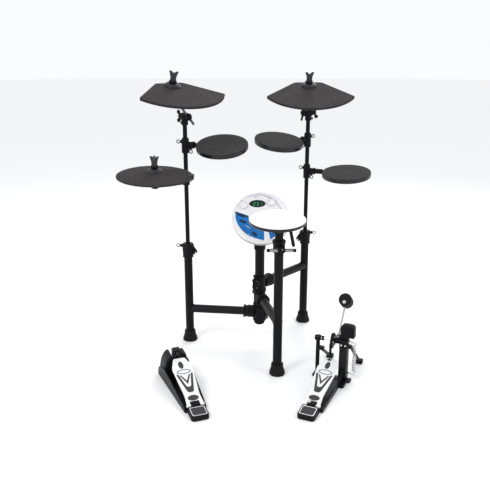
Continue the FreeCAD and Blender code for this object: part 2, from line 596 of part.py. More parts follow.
def make_hat_pedal():
    place = pedal_frame(HAT_PEDAL)
    plan = [V(-32, 58, 0), V(-52, 320, 0), V(45, 320, 0), V(32, 58, 0)]
    floor = Part.Face(Part.makePolygon(plan + plan[:1])).extrude(Z * 5)
    cheeks = []
    for x_side, turn, length in ((-36, 3.8, 352), (32, -2.6, 322)):
        profile = [V(0, 60, 0), V(0, 64, 16), V(0, 200, 40), V(0, length - 60, 52), V(0, length - 10, 34),
                   V(0, length, 0)]
        cheek = Part.Face(Part.makePolygon(profile + profile[:1])).extrude(X * 4)
        cheek.translate(X * x_side)
        cheek.rotate(V(x_side, 60, 0), Z, turn)
        cheeks.append(cheek)
    bridge = block((62, 34, 66), V(13, 304, 33))
    outline = [V(-50, 0, 0), V(-50, 0, 30), V(-46, 0, 55), V(-36, 0, 80), V(-20, 0, 92), V(-17, 0, 92),
               V(-17, 0, 0)]
    housing = Part.Face(Part.makePolygon(outline + outline[:1])).extrude(Y * 69)
    housing.translate(Y * 277)
    guard = soft_block((14, 55, 92), V(27, 312, 46), 3)
    mast = block((16, 14, 36), V(-4, 300, 84))
    bumper = rod(7, V(0, 262, 46), V(0, 262, 5))
    spring_post = rod(6, V(0, 200, 4), V(0, 200, 22))
    low = union([heel_plate(), floor])
    rear = union([bridge, housing, guard])
    add("hat_pedal_base", separate([low, rear] + cheeks + [bumper, mast, spring_post]), place)
    block_shape = soft_block((27, 28, 30), V(-3, 286, 102), 3).cut(mast)
    nut = rod(4, V(-3, 272, 106), V(-3, 268.5, 106))
    side = soft_block((8, 34, 24), V(14.7, 292, 92), 2)
    add("hat_pedal_controller", group([block_shape, nut, side]), place)
    add("hat_pedal_footboard", footboard(), board_place(place))


def make_kick_base(place):
    floor = block((44, 260, 6), V(4, 172, 3))
    cross = block((136, 26, 8), V(-6, AXLE_Y, 4))
    spur = rod(9, V(44, 248, 0), V(44, 248, 12)).fuse(block((18, 50, 10), V(44, 272, 5)))
    side_plate = Part.Face(Part.makePolygon([V(0, 60, 0), V(0, 60, 14), V(0, 240, 20), V(0, 288, 60),
                                             V(0, 296, 0), V(0, 60, 0)])).extrude(X * 4)
    side_plate.translate(X * 33)
    under = block((34, 20, 6), V(18, 74, 3))
    low = union([heel_plate(), floor, cross, spur, side_plate, under])
    post = rod(7, V(-60, AXLE_Y, 6), V(-60, AXLE_Y, AXLE_Z - 6))
    cap = rod(12.5, V(-60, AXLE_Y, AXLE_Z - 7), V(-60, AXLE_Y, AXLE_Z + 7))
    bearing = rod(9, V(-68, AXLE_Y, AXLE_Z), V(-52, AXLE_Y, AXLE_Z))
    tower = block((30, 28, 124), V(34, AXLE_Y, 68))
    head = block((30, 30, 30), V(34, AXLE_Y, AXLE_Z - 3))
    ribs = [rod(2.2, V(x, AXLE_Y - 14, 20), V(x, AXLE_Y - 14, 128))
            for x in (21.5 + 4.2 * k for k in range(7))]
    legs = []
    for root, end in ((V(-54, AXLE_Y + 4, 108), V(-60, 452, 7)), (V(52, AXLE_Y + 16, 126), V(52, 452, 7))):
        legs.append(rod(6, root, end))
        legs.append(soft_block((24, 26, 14), end, 3))
        legs.append(block((22, 16, 12), V(root.x * 0.9, root.y - 3, root.z)))
    anchor = rod(3.5, V(45, AXLE_Y + SPRING_Y, 26), V(SPRING_X + 4, AXLE_Y + SPRING_Y, 26))
    base = union([low, post, cap, bearing, tower, head, anchor] + ribs + legs)
    base = base.cut(rod(5.05, V(-90, AXLE_Y, AXLE_Z), V(90, AXLE_Y, AXLE_Z)))
    add("kick_base", base, place)
    housing = block((50, 26, 46), V(44, AXLE_Y + 6, AXLE_Z + 41))
    tops = [e for e in housing.Edges if abs(e.tangentAt(e.FirstParameter).y) > 0.99
            and e.CenterOfMass.z > AXLE_Z + 50]
    housing = housing.makeFillet(16, tops)
    stem = block((30, 22, 6), V(34, AXLE_Y + 4, AXLE_Z + 15))
    add("kick_trigger", union([housing, stem]), place)


def make_kick_drive(place):
    axle_line = FreeCAD.Placement(V(0, AXLE_Y, AXLE_Z), FreeCAD.Rotation())
    axle = rod(5, V(-80, 0, 0), V(58, 0, 0))
    cam = rod(CAM_R, V(-8, 0, 0), V(0, 0, 0)).fuse(rod(9, V(-12, 0, 0), V(2, 0, 0)))
    collar = rod(8, V(-46, 0, 0), V(-38, 0, 0))
    crank = union([rod(8, V(52, 0, 0), V(58, 0, 0)), block((6, 20, 8), V(55, SPRING_Y / 2, -2)),
                   rod(2.5, V(55, SPRING_Y, -CRANK_DROP), V(SPRING_X + 4, SPRING_Y, -CRANK_DROP))])
    add("kick_axle", union([axle, cam, collar, crank]), place.multiply(axle_line))

    lean = FreeCAD.Placement(O, FreeCAD.Rotation(X, -BEATER_LEAN))
    hub = rod(10, V(3, 0, 0), V(17, 0, 0)).cut(rod(5, V(-9, 0, 0), V(25, 0, 0)))
    stem = rod(3, V(10, 0, 9), V(10, 0, BEATER_REACH + 10))
    head = rod(23, V(10, -22, BEATER_REACH), V(10, 22, BEATER_REACH))
    rim = [e for e in head.Edges if len(e.Vertexes) == 1 and e.Length > 100]
    head = head.makeFillet(7, rim).cut(stem)
    nut = rod(7, V(10, -26, BEATER_REACH - 11), V(10, -22, BEATER_REACH - 11))
    beater = group([union([hub, stem]), head, nut])
    add("kick_beater", beater, place.multiply(axle_line).multiply(lean))

    toe = board_place(FreeCAD.Placement()).multVec(V(-4, BOARD_LENGTH - 4, 4))
    strap = block((9, 2.4, AXLE_Z - toe.z), V(-4, AXLE_Y - CAM_R - 2, (AXLE_Z + toe.z) / 2 + 1.5))
    add("kick_chain", strap, place)
    coil_low, coil_top = 30.0, AXLE_Z - CRANK_DROP - 4
    spring = pipe(7, 4.6, V(SPRING_X, AXLE_Y + SPRING_Y, coil_low),
                  V(SPRING_X, AXLE_Y + SPRING_Y, coil_top))
    add("kick_spring", spring, place)
    add("kick_footboard", footboard(), board_place(place))


# ---- whole kit ---------------------------------------------------------------------------------
def build():
    make_centre()
    make_module_mount()
    for name, arm in ARMS.items():
        make_arm(name, arm)
    for name in ("left", "right"):
        make_leg_clamp(name, ARMS[name])
        make_mast(name)
        make_tilter(name)
        make_crash(name)
    make_front_clamp()
    for name, tom in TOMS.items():
        make_tom(name, tom)
    make_hat()
    make_snare()
    make_module()
    make_hat_pedal()
    kick_place = pedal_frame(KICK_PEDAL)
    make_kick_base(kick_place)
    make_kick_drive(kick_place)


build()
bounds = FreeCAD.BoundBox()
for shape in parts.values():
    bounds.add(shape.optimalBoundingBox())
SHIFT = V(-(bounds.XMin + bounds.XMax) / 2, -(bounds.YMin + bounds.YMax) / 2, -bounds.ZMin)
os.makedirs("parts", exist_ok=True)
for node, shape in parts.items():
    shape.translate(SHIFT)
    shape.exportStep("parts/" + node + ".step")
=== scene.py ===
import json
from math import atan2, copysign, cos, pi, radians, sin, sqrt, tau
import bmesh
import bpy
from mathutils import Matrix, Vector, noise
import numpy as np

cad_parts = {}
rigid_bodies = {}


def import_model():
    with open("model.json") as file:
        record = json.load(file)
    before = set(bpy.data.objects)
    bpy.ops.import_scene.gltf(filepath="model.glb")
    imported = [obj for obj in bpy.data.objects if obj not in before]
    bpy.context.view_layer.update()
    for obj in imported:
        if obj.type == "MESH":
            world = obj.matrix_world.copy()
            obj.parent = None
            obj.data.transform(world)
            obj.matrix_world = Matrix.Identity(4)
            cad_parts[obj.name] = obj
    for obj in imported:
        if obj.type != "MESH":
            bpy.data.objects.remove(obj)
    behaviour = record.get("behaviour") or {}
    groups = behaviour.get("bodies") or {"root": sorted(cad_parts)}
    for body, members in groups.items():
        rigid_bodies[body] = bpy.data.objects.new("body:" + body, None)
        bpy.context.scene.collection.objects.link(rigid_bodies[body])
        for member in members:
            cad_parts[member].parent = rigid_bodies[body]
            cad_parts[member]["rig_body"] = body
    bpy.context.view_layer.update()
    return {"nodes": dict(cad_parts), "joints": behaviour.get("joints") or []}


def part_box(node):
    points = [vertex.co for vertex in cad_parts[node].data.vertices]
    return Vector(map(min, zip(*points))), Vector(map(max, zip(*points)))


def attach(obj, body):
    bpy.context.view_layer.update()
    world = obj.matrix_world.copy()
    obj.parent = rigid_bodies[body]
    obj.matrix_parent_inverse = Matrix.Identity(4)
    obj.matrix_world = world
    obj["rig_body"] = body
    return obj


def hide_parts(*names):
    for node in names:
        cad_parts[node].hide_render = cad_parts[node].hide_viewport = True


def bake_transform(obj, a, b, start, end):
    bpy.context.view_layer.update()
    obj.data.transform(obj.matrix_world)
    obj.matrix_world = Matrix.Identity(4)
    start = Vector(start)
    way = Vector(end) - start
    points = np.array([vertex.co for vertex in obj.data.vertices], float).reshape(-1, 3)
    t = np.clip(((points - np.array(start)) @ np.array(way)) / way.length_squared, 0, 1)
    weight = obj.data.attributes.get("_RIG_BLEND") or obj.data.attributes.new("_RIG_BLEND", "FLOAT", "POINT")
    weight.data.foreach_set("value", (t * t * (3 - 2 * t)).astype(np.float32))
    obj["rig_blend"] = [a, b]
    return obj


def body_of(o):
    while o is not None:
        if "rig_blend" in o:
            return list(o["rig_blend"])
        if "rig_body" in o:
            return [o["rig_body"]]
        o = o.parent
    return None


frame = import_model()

NODES = frame["nodes"]
JOINTS = {joint["name"]: joint for joint in frame["joints"]}
MM = 0.001
FACING = 0.2    # least cosine for a face that looks toward a direction


def V(*parts):
    return Vector(parts)


X, Y, Z = V(1, 0, 0), V(0, 1, 0), V(0, 0, 1)
O = V(0, 0, 0)
RACK = ("left", "right", "front")
TOMS = ("left_tom", "right_tom_upper", "right_tom_lower")

# ---- local dimensions, as the CAD has them ----
TUBE_R, TUBE_BORE, POST_R, SLEEVE_R = 16.0, 14.3, 18.0, 22.5
POLE_R, STEM_R, SNARE_POST_R = 8.0, 4.5, 14.0
SLIDE_BORE = POLE_R + 0.3     # of a part that slides on a pole
SLEEVE_BORE = POLE_R + 0.8    # of an arm's sleeve, whose surface is remeshed
HOLE_R = 7.6                  # of the hole through a cymbal pad
PAD_R, CRASH_R, HAT_R, MODULE_R = 95.0, 184.0, 134.0, 108.0
CRASH_TIP_ANGLE = 61.0
CRASH_BACK = (51.0, 30.0)
CRASH_THICK = 10.0
MODULE_TURN = 11.5
DISPLAY, DISPLAY_AT, DISPLAY_TURN = (61.0, 32.0), (-3.0, 57.0), -10.5
KNOB_SPOTS = {"left": (-54.0, 58.0), "right": (47.0, 49.0)}
HINGE_Y, HINGE_Z = 62.0, 22.0
AXLE_Y, AXLE_Z, CAM_R = 298.0, 146.0, 34.0
SPRING_X, SPRING_Y = 67.0, 14.0
BOARD_LENGTH = 214.0
LEVER_ENDS = ((0.092, -0.258, 0.545), (0.106, -0.262, 0.478))    # metres from the post and floor


# ---- places read from the frame ----
def centre(node):
    low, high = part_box(node)
    return (low + high) / 2


def heights(node):
    """A node's lowest and highest Z, in millimetres."""
    return [corner.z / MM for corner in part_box(node)]


def joint_at(name):
    return Vector(JOINTS[name]["pos_m"])


def joint_axis(name):
    return Vector(JOINTS[name]["axis"])


def move(*by):
    return Matrix.Translation(by)


def frame_at(origin, x_axis, z_axis):
    """A placement from local millimetres to metres, by its origin and two axes."""
    up = z_axis.normalized()
    right = (x_axis - up * x_axis.dot(up)).normalized()
    turn = Matrix((right, up.cross(right), up)).transposed().to_4x4()
    return Matrix.Translation(origin) @ turn @ Matrix.Scale(MM, 4)


def stand(node, x_axis=X):
    """A placement on the floor, on the upright axis through a node's middle."""
    spot = centre(node)
    return frame_at(V(spot.x, spot.y, 0), x_axis, Z)


def flat_face(node, toward):
    """The normal and middle of a CAD node's largest flat face toward a direction."""
    groups = {}
    mesh = NODES[node].data
    for face in mesh.polygons:
        if face.normal.dot(toward) > FACING:
            key = tuple(round(c, 2) for c in face.normal)
            entry = groups.setdefault(key, [0.0, Vector(), Vector()])
            entry[0] += face.area
            entry[1] += face.center * face.area
            entry[2] += face.normal * face.area
    area, middle, normal = max(groups.values(), key=lambda entry: entry[0])
    return normal.normalized(), middle / area


# ---- plan outlines ----
CORNER_SHARE = 0.48        # of a side that one rounded corner may take


def angles(count):
    """The angles of a full turn in equal steps."""
    return [k * tau / count for k in range(count)]


def eased(points, default=0.0, closed=True, steps=5):
    """A line of points with each corner rounded; a point may end with its own rounding distance."""
    size = len(points[0]) if isinstance(points[0], Vector) else 2
    corners = [Vector(p[:size]) for p in points]
    line = []
    for i, point in enumerate(points):
        ease = point[size] if len(point) > size else default
        corner, before, after = corners[i], corners[i - 1], corners[(i + 1) % len(points)]
        if not ease or (not closed and i in (0, len(points) - 1)):
            line.append(corner)
            continue
        into, out = before - corner, after - corner
        start = corner + into.normalized() * min(ease, into.length * CORNER_SHARE)
        end = corner + out.normalized() * min(ease, out.length * CORNER_SHARE)
        for k in range(steps + 1):
            t = k / steps
            line.append(start * (1 - t) ** 2 + corner * (2 * t * (1 - t)) + end * t * t)
    return line


def plan_box(width, depth, ease=2.0, at=(0, 0)):
    w, d = width / 2, depth / 2
    corners = [(at[0] - w, at[1] - d), (at[0] + w, at[1] - d), (at[0] + w, at[1] + d),
               (at[0] - w, at[1] + d)]
    return eased(corners, ease)


def plan_oval(length, width, at=(0, 0), turn=0.0, count=40):
    c, s = cos(radians(turn)), sin(radians(turn))
    points = []
    for angle in angles(count):
        a, b = cos(angle) * length / 2, sin(angle) * width / 2
        points.append(V(at[0] + a * c - b * s, at[1] + a * s + b * c))
    return points


def spline(*pairs, steps=8):
    """A smooth line through points (Catmull-Rom)."""
    points = [Vector(pair) for pair in pairs]
    knots = [points[0] * 2 - points[1]] + points + [points[-1] * 2 - points[-2]]
    line = []
    for i in range(1, len(knots) - 2):
        a, b, c, d = knots[i - 1:i + 3]
        for k in range(steps):
            t = k / steps
            line.append((b * 2 + (c - a) * t + (a * 2 - b * 5 + c * 4 - d) * t ** 2
                         + (b * 3 - a - c * 3 + d) * t ** 3) / 2)
    return line + [points[-1]]


def inset(outline, distance):
    """An anticlockwise outline moved inwards by a distance."""
    count = len(outline)
    moved = []
    for i, point in enumerate(outline):
        into = (point - outline[i - 1]).normalized()
        out = (outline[(i + 1) % count] - point).normalized()
        inward = V(-into.y - out.y, into.x + out.x).normalized()
        miter = max(0.5, inward.dot(V(-out.y, out.x)))
        moved.append(point + inward * (distance / miter))
    return moved


# ---- closed shells: each is a list of points and a list of faces ----
def skin(rings, wrap=False):
    """Quads between rings of equal length, with flat ends, or joined end to start."""
    count = len(rings[0])
    points = [p for ring in rings for p in ring]
    faces = []
    for r in range(len(rings) if wrap else len(rings) - 1):
        low, high = r * count, (r + 1) % len(rings) * count
        for i in range(count):
            j = (i + 1) % count
            faces.append((low + i, low + j, high + j, high + i))
    if not wrap:
        faces.append(tuple(reversed(range(count))))
        faces.append(tuple(range(len(points) - count, len(points))))
    return points, faces


def lathe(profile, ease=1.0, segments=64, at=(0, 0)):
    """A turned shell from (radius, height) corners, solid where its profile starts at radius 0."""
    solid = profile[0][0] == 0
    line = [p for p in eased(profile, ease, closed=not solid) if p.x > 0 or not solid]
    rings = [[V(at[0] + point.x * cos(a), at[1] + point.x * sin(a), point.y) for a in angles(segments)]
             for point in line]
    return skin(rings, wrap=not solid)


def edge_rings(outline, low, high, edge, steps=3):
    """The rings up a plate's side, with its bottom and top edges rounded."""
    arc = [radians(90 * k / steps) for k in range(steps + 1)]
    levels = [(edge * (1 - sin(a)), low + edge * (1 - cos(a))) for a in arc]
    levels += [(edge * (1 - cos(a)), high - edge * (1 - sin(a))) for a in arc]
    return [[V(p.x, p.y, z) for p in inset(outline, d)] for d, z in levels]


def prism(outline, low, high, edge=1.0, steps=3):
    """An upright shell over an outline, with its top and bottom edges rounded."""
    area = sum(p.x * q.y - q.x * p.y for p, q in zip(outline, outline[1:] + outline[:1]))
    if area < 0:
        outline = outline[::-1]
    return skin(edge_rings(outline, low, high, edge, steps))


def shifted(shell, matrix):
    """A shell carried into another placement."""
    return [matrix @ p for p in shell[0]], shell[1]


def pointing(direction, at=O):
    """A local placement whose Z axis points along a direction."""
    return Matrix.Translation(at) @ direction.to_track_quat("Z", "Y").to_matrix().to_4x4()


def turned_about(axis, degrees, at=O):
    return Matrix.Translation(at) @ Matrix.Rotation(radians(degrees), 4, axis) @ Matrix.Translation(-at)


def disc(low, high, radius, ease=1.0, segments=64, at=(0, 0)):
    return lathe([(0, low), (radius, low), (radius, high), (0, high)], ease, segments, at)


def rod(start, end, radius, edge=0.6, segments=32):
    return shifted(disc(0, (end - start).length, radius, edge, segments), pointing(end - start, start))


def block(size, at, edge=1.0, ease=1.5):
    shell = prism(plan_box(size[0], size[1], ease), -size[2] / 2, size[2] / 2, edge)
    return shifted(shell, Matrix.Translation(at))


def sweep(path, radius, sides=24, closed=False):
    """A round tube along a path; the radius is a number or one number for each point."""
    count = len(path)
    rings = []
    normal = None
    for i, point in enumerate(path):
        if closed:
            along = (path[(i + 1) % count] - path[i - 1]).normalized()
        else:
            along = (path[min(i + 1, count - 1)] - path[max(i - 1, 0)]).normalized()
        guide = normal or along.orthogonal()
        normal = (guide - along * guide.dot(along)).normalized()
        side = along.cross(normal)
        r = radius[i] if isinstance(radius, list) else radius
        rings.append([point + (normal * cos(a) + side * sin(a)) * r for a in angles(sides)])
    return skin(rings, wrap=closed)


def ring(at, normal, radius, thick, segments=32):
    """A torus about a point."""
    place = pointing(normal, at)
    path = [place @ V(radius * cos(a), radius * sin(a), 0) for a in angles(segments)]
    return sweep(path, thick, 12, closed=True)


# ---- materials ----
MATERIALS = {}
COAT_ROUGH = 0.12
CLOUD_BAND = (0.3, 0.7)    # the part of a cloud texture's values that a finish spreads over
WORN = (0.52, 0.62)        # how pointed an edge is where wear starts and where it is full


def look(name, colour, rough, metal=0.0, vary=0.12, spots=30.0, rough_vary=0.08, grain=0.15,
         grain_size=0.8, cells=False, wear=0.0, coat=0.0, specular=0.5, glow=0.0):
    """A procedural finish: cloudy colour and roughness, fine surface grain, and worn edges."""
    material = bpy.data.materials.new(name)
    material.use_nodes = True
    tree = material.node_tree
    shader = tree.nodes["Principled BSDF"]
    for key, value in (("Metallic", metal), ("Coat Weight", coat), ("Coat Roughness", COAT_ROUGH),
                       ("Specular IOR Level", specular)):
        shader.inputs[key].default_value = value

    def node(kind, **values):
        made = tree.nodes.new("ShaderNode" + kind)
        for key, value in values.items():
            if key in made.inputs:
                made.inputs[key].default_value = value
            else:
                setattr(made, key, value)
        return made

    def link(source, target):
        tree.links.new(source, target)

    place = node("TexCoord").outputs["Object"]
    clouds = node("TexNoise", Scale=spots, Detail=4.0, Roughness=0.6)
    link(place, clouds.inputs["Vector"])
    dark = [c * (1 - vary) for c in colour] + [1]
    light = [min(1, c * (1 + vary) + vary * 0.01) for c in colour] + [1]
    ramp = node("ValToRGB")
    for stop, shade, at in zip(ramp.color_ramp.elements, (dark, light), CLOUD_BAND):
        stop.color, stop.position = shade, at
    link(clouds.outputs["Fac"], ramp.inputs["Fac"])
    tint = ramp.outputs["Color"]
    if wear:
        edge = node("MapRange", **{"From Min": WORN[0], "From Max": WORN[1], "To Max": wear})
        link(node("NewGeometry").outputs["Pointiness"], edge.inputs["Value"])
        worn = node("Mix", data_type="RGBA")
        link(edge.outputs["Result"], worn.inputs["Factor"])
        link(tint, worn.inputs[6])
        worn.inputs[7].default_value = [min(1, c * 3 + 0.05) for c in colour] + [1]
        tint = worn.outputs[2]
    link(tint, shader.inputs["Base Color"])
    fine = node("TexNoise", Scale=1 / (grain_size * MM), Detail=3.0)
    link(place, fine.inputs["Vector"])
    height = fine.outputs["Fac"]
    if cells:
        dots = node("TexVoronoi", Scale=0.6 / (grain_size * MM))
        link(place, dots.inputs["Vector"])
        height = dots.outputs["Distance"]
    rough_map = node("MapRange", **{"From Min": CLOUD_BAND[0], "From Max": CLOUD_BAND[1],
                                    "To Min": rough - rough_vary, "To Max": rough + rough_vary})
    patches = node("TexNoise", Scale=spots * 3, Detail=5.0)
    link(place, patches.inputs["Vector"])
    link(patches.outputs["Fac"], rough_map.inputs["Value"])
    link(rough_map.outputs["Result"], shader.inputs["Roughness"])
    bump = node("Bump", Strength=grain, Distance=grain_size * MM * 0.25)
    link(height, bump.inputs["Height"])
    link(bump.outputs["Normal"], shader.inputs["Normal"])
    if glow:
        link(tint, shader.inputs["Emission Color"])
        shader.inputs["Emission Strength"].default_value = glow
    MATERIALS[name] = material


look("powder_black", (0.0036, 0.0036, 0.0044), 0.40, grain=0.25, grain_size=1.6, wear=0.12, specular=0.12)
look("moulded_black", (0.0045, 0.0045, 0.0052), 0.48, grain=0.3, grain_size=0.7, wear=0.2, specular=0.11)
look("cast_black", (0.0045, 0.0045, 0.0058), 0.42, grain=0.35, grain_size=1.1, wear=0.25, specular=0.12)
look("foot_rubber", (0.006, 0.006, 0.006), 0.6, grain=0.4, grain_size=0.9, specular=0.15)
look("pad_rubber", (0.036, 0.034, 0.035), 0.86, grain=0.5, grain_size=0.9, cells=True, specular=0.12)
look("cymbal_rubber", (0.034, 0.031, 0.032), 0.82, grain=0.5, grain_size=1.1, cells=True, specular=0.14)
look("rubber_side", (0.010, 0.0095, 0.011), 0.46, grain=0.3, grain_size=0.9, specular=0.25)
look("casing_gloss", (0.006, 0.006, 0.009), 0.24, grain=0.12, grain_size=1.2, specular=0.35)
look("topper_grey", (0.030, 0.029, 0.038), 0.5, grain=0.3, grain_size=0.7, wear=0.2, specular=0.25)
look("dark_steel", (0.09, 0.09, 0.10), 0.32, metal=0.9, grain=0.2, grain_size=0.5)
look("bright_steel", (0.72, 0.72, 0.73), 0.22, metal=1.0, grain=0.15, grain_size=0.4)
look("satin_steel", (0.30, 0.30, 0.31), 0.40, metal=0.85, grain=0.2, grain_size=0.5)
look("board_silver", (0.77, 0.77, 0.785), 0.42, metal=0.1, vary=0.03, grain=0.25, grain_size=0.5,
     specular=0.3)
look("inlay_grey", (0.050, 0.048, 0.050), 0.75, grain=0.8, grain_size=1.4, cells=True, specular=0.15)
look("outline_silver", (0.62, 0.62, 0.64), 0.38, metal=0.3, vary=0.05, grain=0.1)
look("snare_white", (0.86, 0.86, 0.87), 0.55, vary=0.02, grain=0.35, grain_size=0.9)
look("module_white", (0.72, 0.72, 0.74), 0.38, vary=0.02, grain=0.12, grain_size=0.5, coat=0.1)
# painted shade: this lilac grey stands for the shaded inner slope along the module's top rim
look("module_lilac", (0.49, 0.47, 0.56), 0.40, vary=0.05, grain=0.12, grain_size=0.5)
look("module_warm", (0.33, 0.315, 0.29), 0.42, vary=0.04, grain=0.25, grain_size=0.6)
look("panel_blue", (0.0, 0.135, 0.43), 0.30, vary=0.2, spots=18.0, grain=0.05, specular=0.3)
look("panel_navy", (0.0, 0.075, 0.22), 0.32, vary=0.2, grain=0.05, specular=0.25)
look("key_navy", (0.006, 0.022, 0.06), 0.45, grain=0.3, grain_size=0.5, specular=0.2)
look("print_white", (0.78, 0.86, 0.93), 0.5, vary=0.03, grain=0.05)
look("print_grey", (0.09, 0.085, 0.10), 0.5, vary=0.1, grain=0.05, specular=0.2)
look("lens_black", (0.002, 0.004, 0.003), 0.10, vary=0.3, grain=0.02, specular=0.3)
look("digit_green", (0.0, 0.30, 0.12), 0.4, vary=0.05, grain=0.02, glow=0.5)
look("pcb_green", (0.01, 0.10, 0.035), 0.35, vary=0.15, grain=0.1)
look("coil_steel", (0.40, 0.40, 0.41), 0.30, metal=1.0, grain=0.1, grain_size=0.4)
# painted shade: near-black for the shade down the jack holes; the hat controller's seam lines use it as real
# dark joints
look("socket_hole", (0.003, 0.003, 0.003), 0.8, vary=0.2, grain=0.1)
look("floor_white", (0.93, 0.93, 0.935), 0.75, vary=0.004, spots=3.0, grain=0.0)


# ---- pieces ----
CREASE = radians(38)
KEPT_SHARE = 0.35    # of the faces of a remeshed shell
SMOOTHING = 4        # passes over a remeshed shell


def add_object(name, data):
    obj = bpy.data.objects.new(name, data)
    bpy.context.scene.collection.objects.link(obj)
    return obj


def mesh_object(name, shells, place):
    """Links one object made of closed shells, with its faces turned outwards."""
    points, faces = [], []
    for shell_points, shell_faces in shells:
        start = len(points)
        points += [place @ p for p in shell_points]
        faces += [tuple(start + i for i in face) for face in shell_faces]
    mesh = bpy.data.meshes.new(name)
    mesh.from_pydata(points, [], faces)
    tool = bmesh.new()
    tool.from_mesh(mesh)
    bmesh.ops.recalc_face_normals(tool, faces=tool.faces)
    tool.to_mesh(mesh)
    tool.free()
    return add_object(name, mesh)


def piece(name, node, finish, shells, place, voxel=0.0, replace=True, cuts=None, bends=None):
    """A mesh object that moves with a CAD node's body and, where replace is set, stands for it."""
    obj = mesh_object(name, shells, place)
    if cuts:
        carve(obj, cuts, place)
    if voxel:
        fuse(obj, voxel)
    finish_object(obj, node, finish, replace, bends)
    return obj


def trim(*given, **named):
    """A piece beside a node's main piece, which does not itself stand for the node."""
    return piece(*given, replace=False, **named)


def modifier(obj, kind, **settings):
    made = obj.modifiers.new(kind.lower(), kind)
    for key, value in settings.items():
        setattr(made, key, value)


def carve(obj, shells, place):
    """Cuts shells out of an object."""
    cutter = mesh_object("cutter", shells, place)
    modifier(obj, "BOOLEAN", operation="DIFFERENCE", solver="EXACT", object=cutter)
    bake(obj)
    bpy.data.objects.remove(cutter)


def fuse(obj, voxel):
    """Joins the shells of an object into one, with soft fillets as on a casting."""
    modifier(obj, "REMESH", mode="VOXEL", voxel_size=voxel * MM)
    modifier(obj, "SMOOTH", factor=0.5, iterations=SMOOTHING)
    modifier(obj, "DECIMATE", decimate_type="COLLAPSE", ratio=KEPT_SHARE)
    bake(obj)


def bake(obj):
    """Applies an object's modifiers to its mesh."""
    graph = bpy.context.evaluated_depsgraph_get()
    mesh = bpy.data.meshes.new_from_object(obj.evaluated_get(graph))
    obj.modifiers.clear()
    obj.data = mesh


def finish_object(obj, node, finish, replace=True, bends=None):
    obj.data.materials.clear()
    obj.data.materials.append(MATERIALS[finish])
    obj.data.shade_smooth()
    obj.data.set_sharp_from_angle(angle=CREASE)
    modifier(obj, "WEIGHTED_NORMAL", keep_sharp=True)
    if bends:
        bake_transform(obj, *bends)
    else:
        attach(obj, body_of(NODES[node])[0])
    if replace:
        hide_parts(node)


# ---- placements ----
hub = centre("centre_post")
LAYOUT = stand("centre_post")


def local(place, point):
    """A point of the frame in a placement's own millimetres."""
    return place.inverted() @ point


def plan_star(radius, depth, lobes, count=96):
    """A round outline with shallow lobes, as on a knurled knob."""
    points = []
    for a in angles(count):
        r = radius - depth * (0.5 - 0.5 * cos(lobes * a))
        points.append(V(r * cos(a), r * sin(a)))
    return points


def upright(outline, half, edge=1.0, y=0.0):
    """A plate standing in the XZ plane, with its outline given as (x, z)."""
    return shifted(prism(outline, -half, half, edge), move(0, y, 0) @ Matrix.Rotation(pi / 2, 4, "X"))


def band(outer, inner, low, high):
    """A flat ring between two outlines of equal length."""
    return skin([[V(p.x, p.y, z) for p in line]
                 for line, z in ((outer, low), (outer, high), (inner, high), (inner, low))], wrap=True)


def bent(shell, change):
    """A shell with each point moved by a function."""
    return [change(p) for p in shell[0]], shell[1]


def tube_between(low, high, radius, bore, at=(0, 0), ease=0.8, segments=64):
    return lathe([(bore, low), (radius, low), (radius, high), (bore, high)], ease, segments, at)


def ring_screw(start, direction, reach, across):
    """A clamp screw with a ring for a head, and a collar where it enters its clamp."""
    middle = start + direction * (reach + 5.5)
    return [rod(start, start + direction * reach, 2.6), rod(start, start + direction * 2, 4.4),
            ring(middle, direction.cross(across), 6.0, 1.8)]


def stem_tip(z):
    """The domed end of a cymbal stem."""
    return shifted(lathe([(0, -1), (STEM_R, -1), (STEM_R, 1.2, 1), (0, 2.4)]), move(0, 0, z))


def stem_cup(low, radius, rim, top):
    """The cup under a cymbal pad: narrow at its low end, and 15 wide from its rim up."""
    return lathe([(STEM_R, low), (radius, low), (15, rim, 2), (15, top), (STEM_R, top)], 0.8)


def screw_head(at, direction, radius=3.0, high=1.6):
    """A domed head with a hexagonal socket's rim."""
    dome = lathe([(0, 0), (radius, 0), (radius, high * 0.6), (radius * 0.72, high), (radius * 0.45, high),
                  (radius * 0.4, high * 0.55), (0, high * 0.55)], 0.3, 24)
    return shifted(dome, pointing(direction, at))


# ---- rack ----
def arm_place(name):
    """A leg arm's placement on the centre post's axis, with X along its bar, and its reach."""
    leg = centre(name + "_foot")
    along = V(leg.x - hub.x, leg.y - hub.y, 0)
    return frame_at(V(hub.x, hub.y, 0), along, Z), along.length / MM


def weld_bead(reach, bar_z):
    """The uneven bead where a bar meets its leg."""
    path, radii = [], []
    edge = TUBE_R + 0.3
    for a in angles(120):
        y = edge * cos(a)
        path.append(V(reach - sqrt(max(edge ** 2 - y ** 2, 0)), y, bar_z + edge * sin(a)))
        radii.append(1.9 + 0.3 * sin(a * 30) + 0.25 * noise.noise(path[-1] * 0.2))
    return sweep(path, radii, 10, closed=True)


def hub_joint(low, high, bar_z):
    """The clamp on the centre post: a split sleeve with flanges, lugs, ribs and a bar socket."""
    bore, middle = POST_R + 0.8, (low + high) / 2
    shells = [tube_between(low, high, SLEEVE_R, bore)]
    shells += [tube_between(z, z + 5.5, SLEEVE_R + 3, bore) for z in (low, high - 5.5)]
    shells.append(rod(V(bore + 1.5, 0, bar_z), V(61, 0, bar_z), SLEEVE_R, 1.5, 64))
    for start, end, extra in ((37, 42, 2), (55, 61, 3)):
        shells.append(rod(V(start, 0, bar_z), V(end, 0, bar_z), SLEEVE_R + extra, 1.2, 64))
    for y in (-5, 5):
        shells.append(block((13, 7, high - low - 14), V(-SLEEVE_R - 4.5, y, middle), 1.5))
    for side in (-1, 1):
        web = [(20, side * 10), (46, side * 20), (46, side * 24), (20, side * 26)]
        shells.append(upright([V(x, bar_z + z) for x, z in web], 2.5))
        shells.append(block((34, 4, 5), V(38, side * (SLEEVE_R + 0.4), bar_z), 1.0))
    return shells


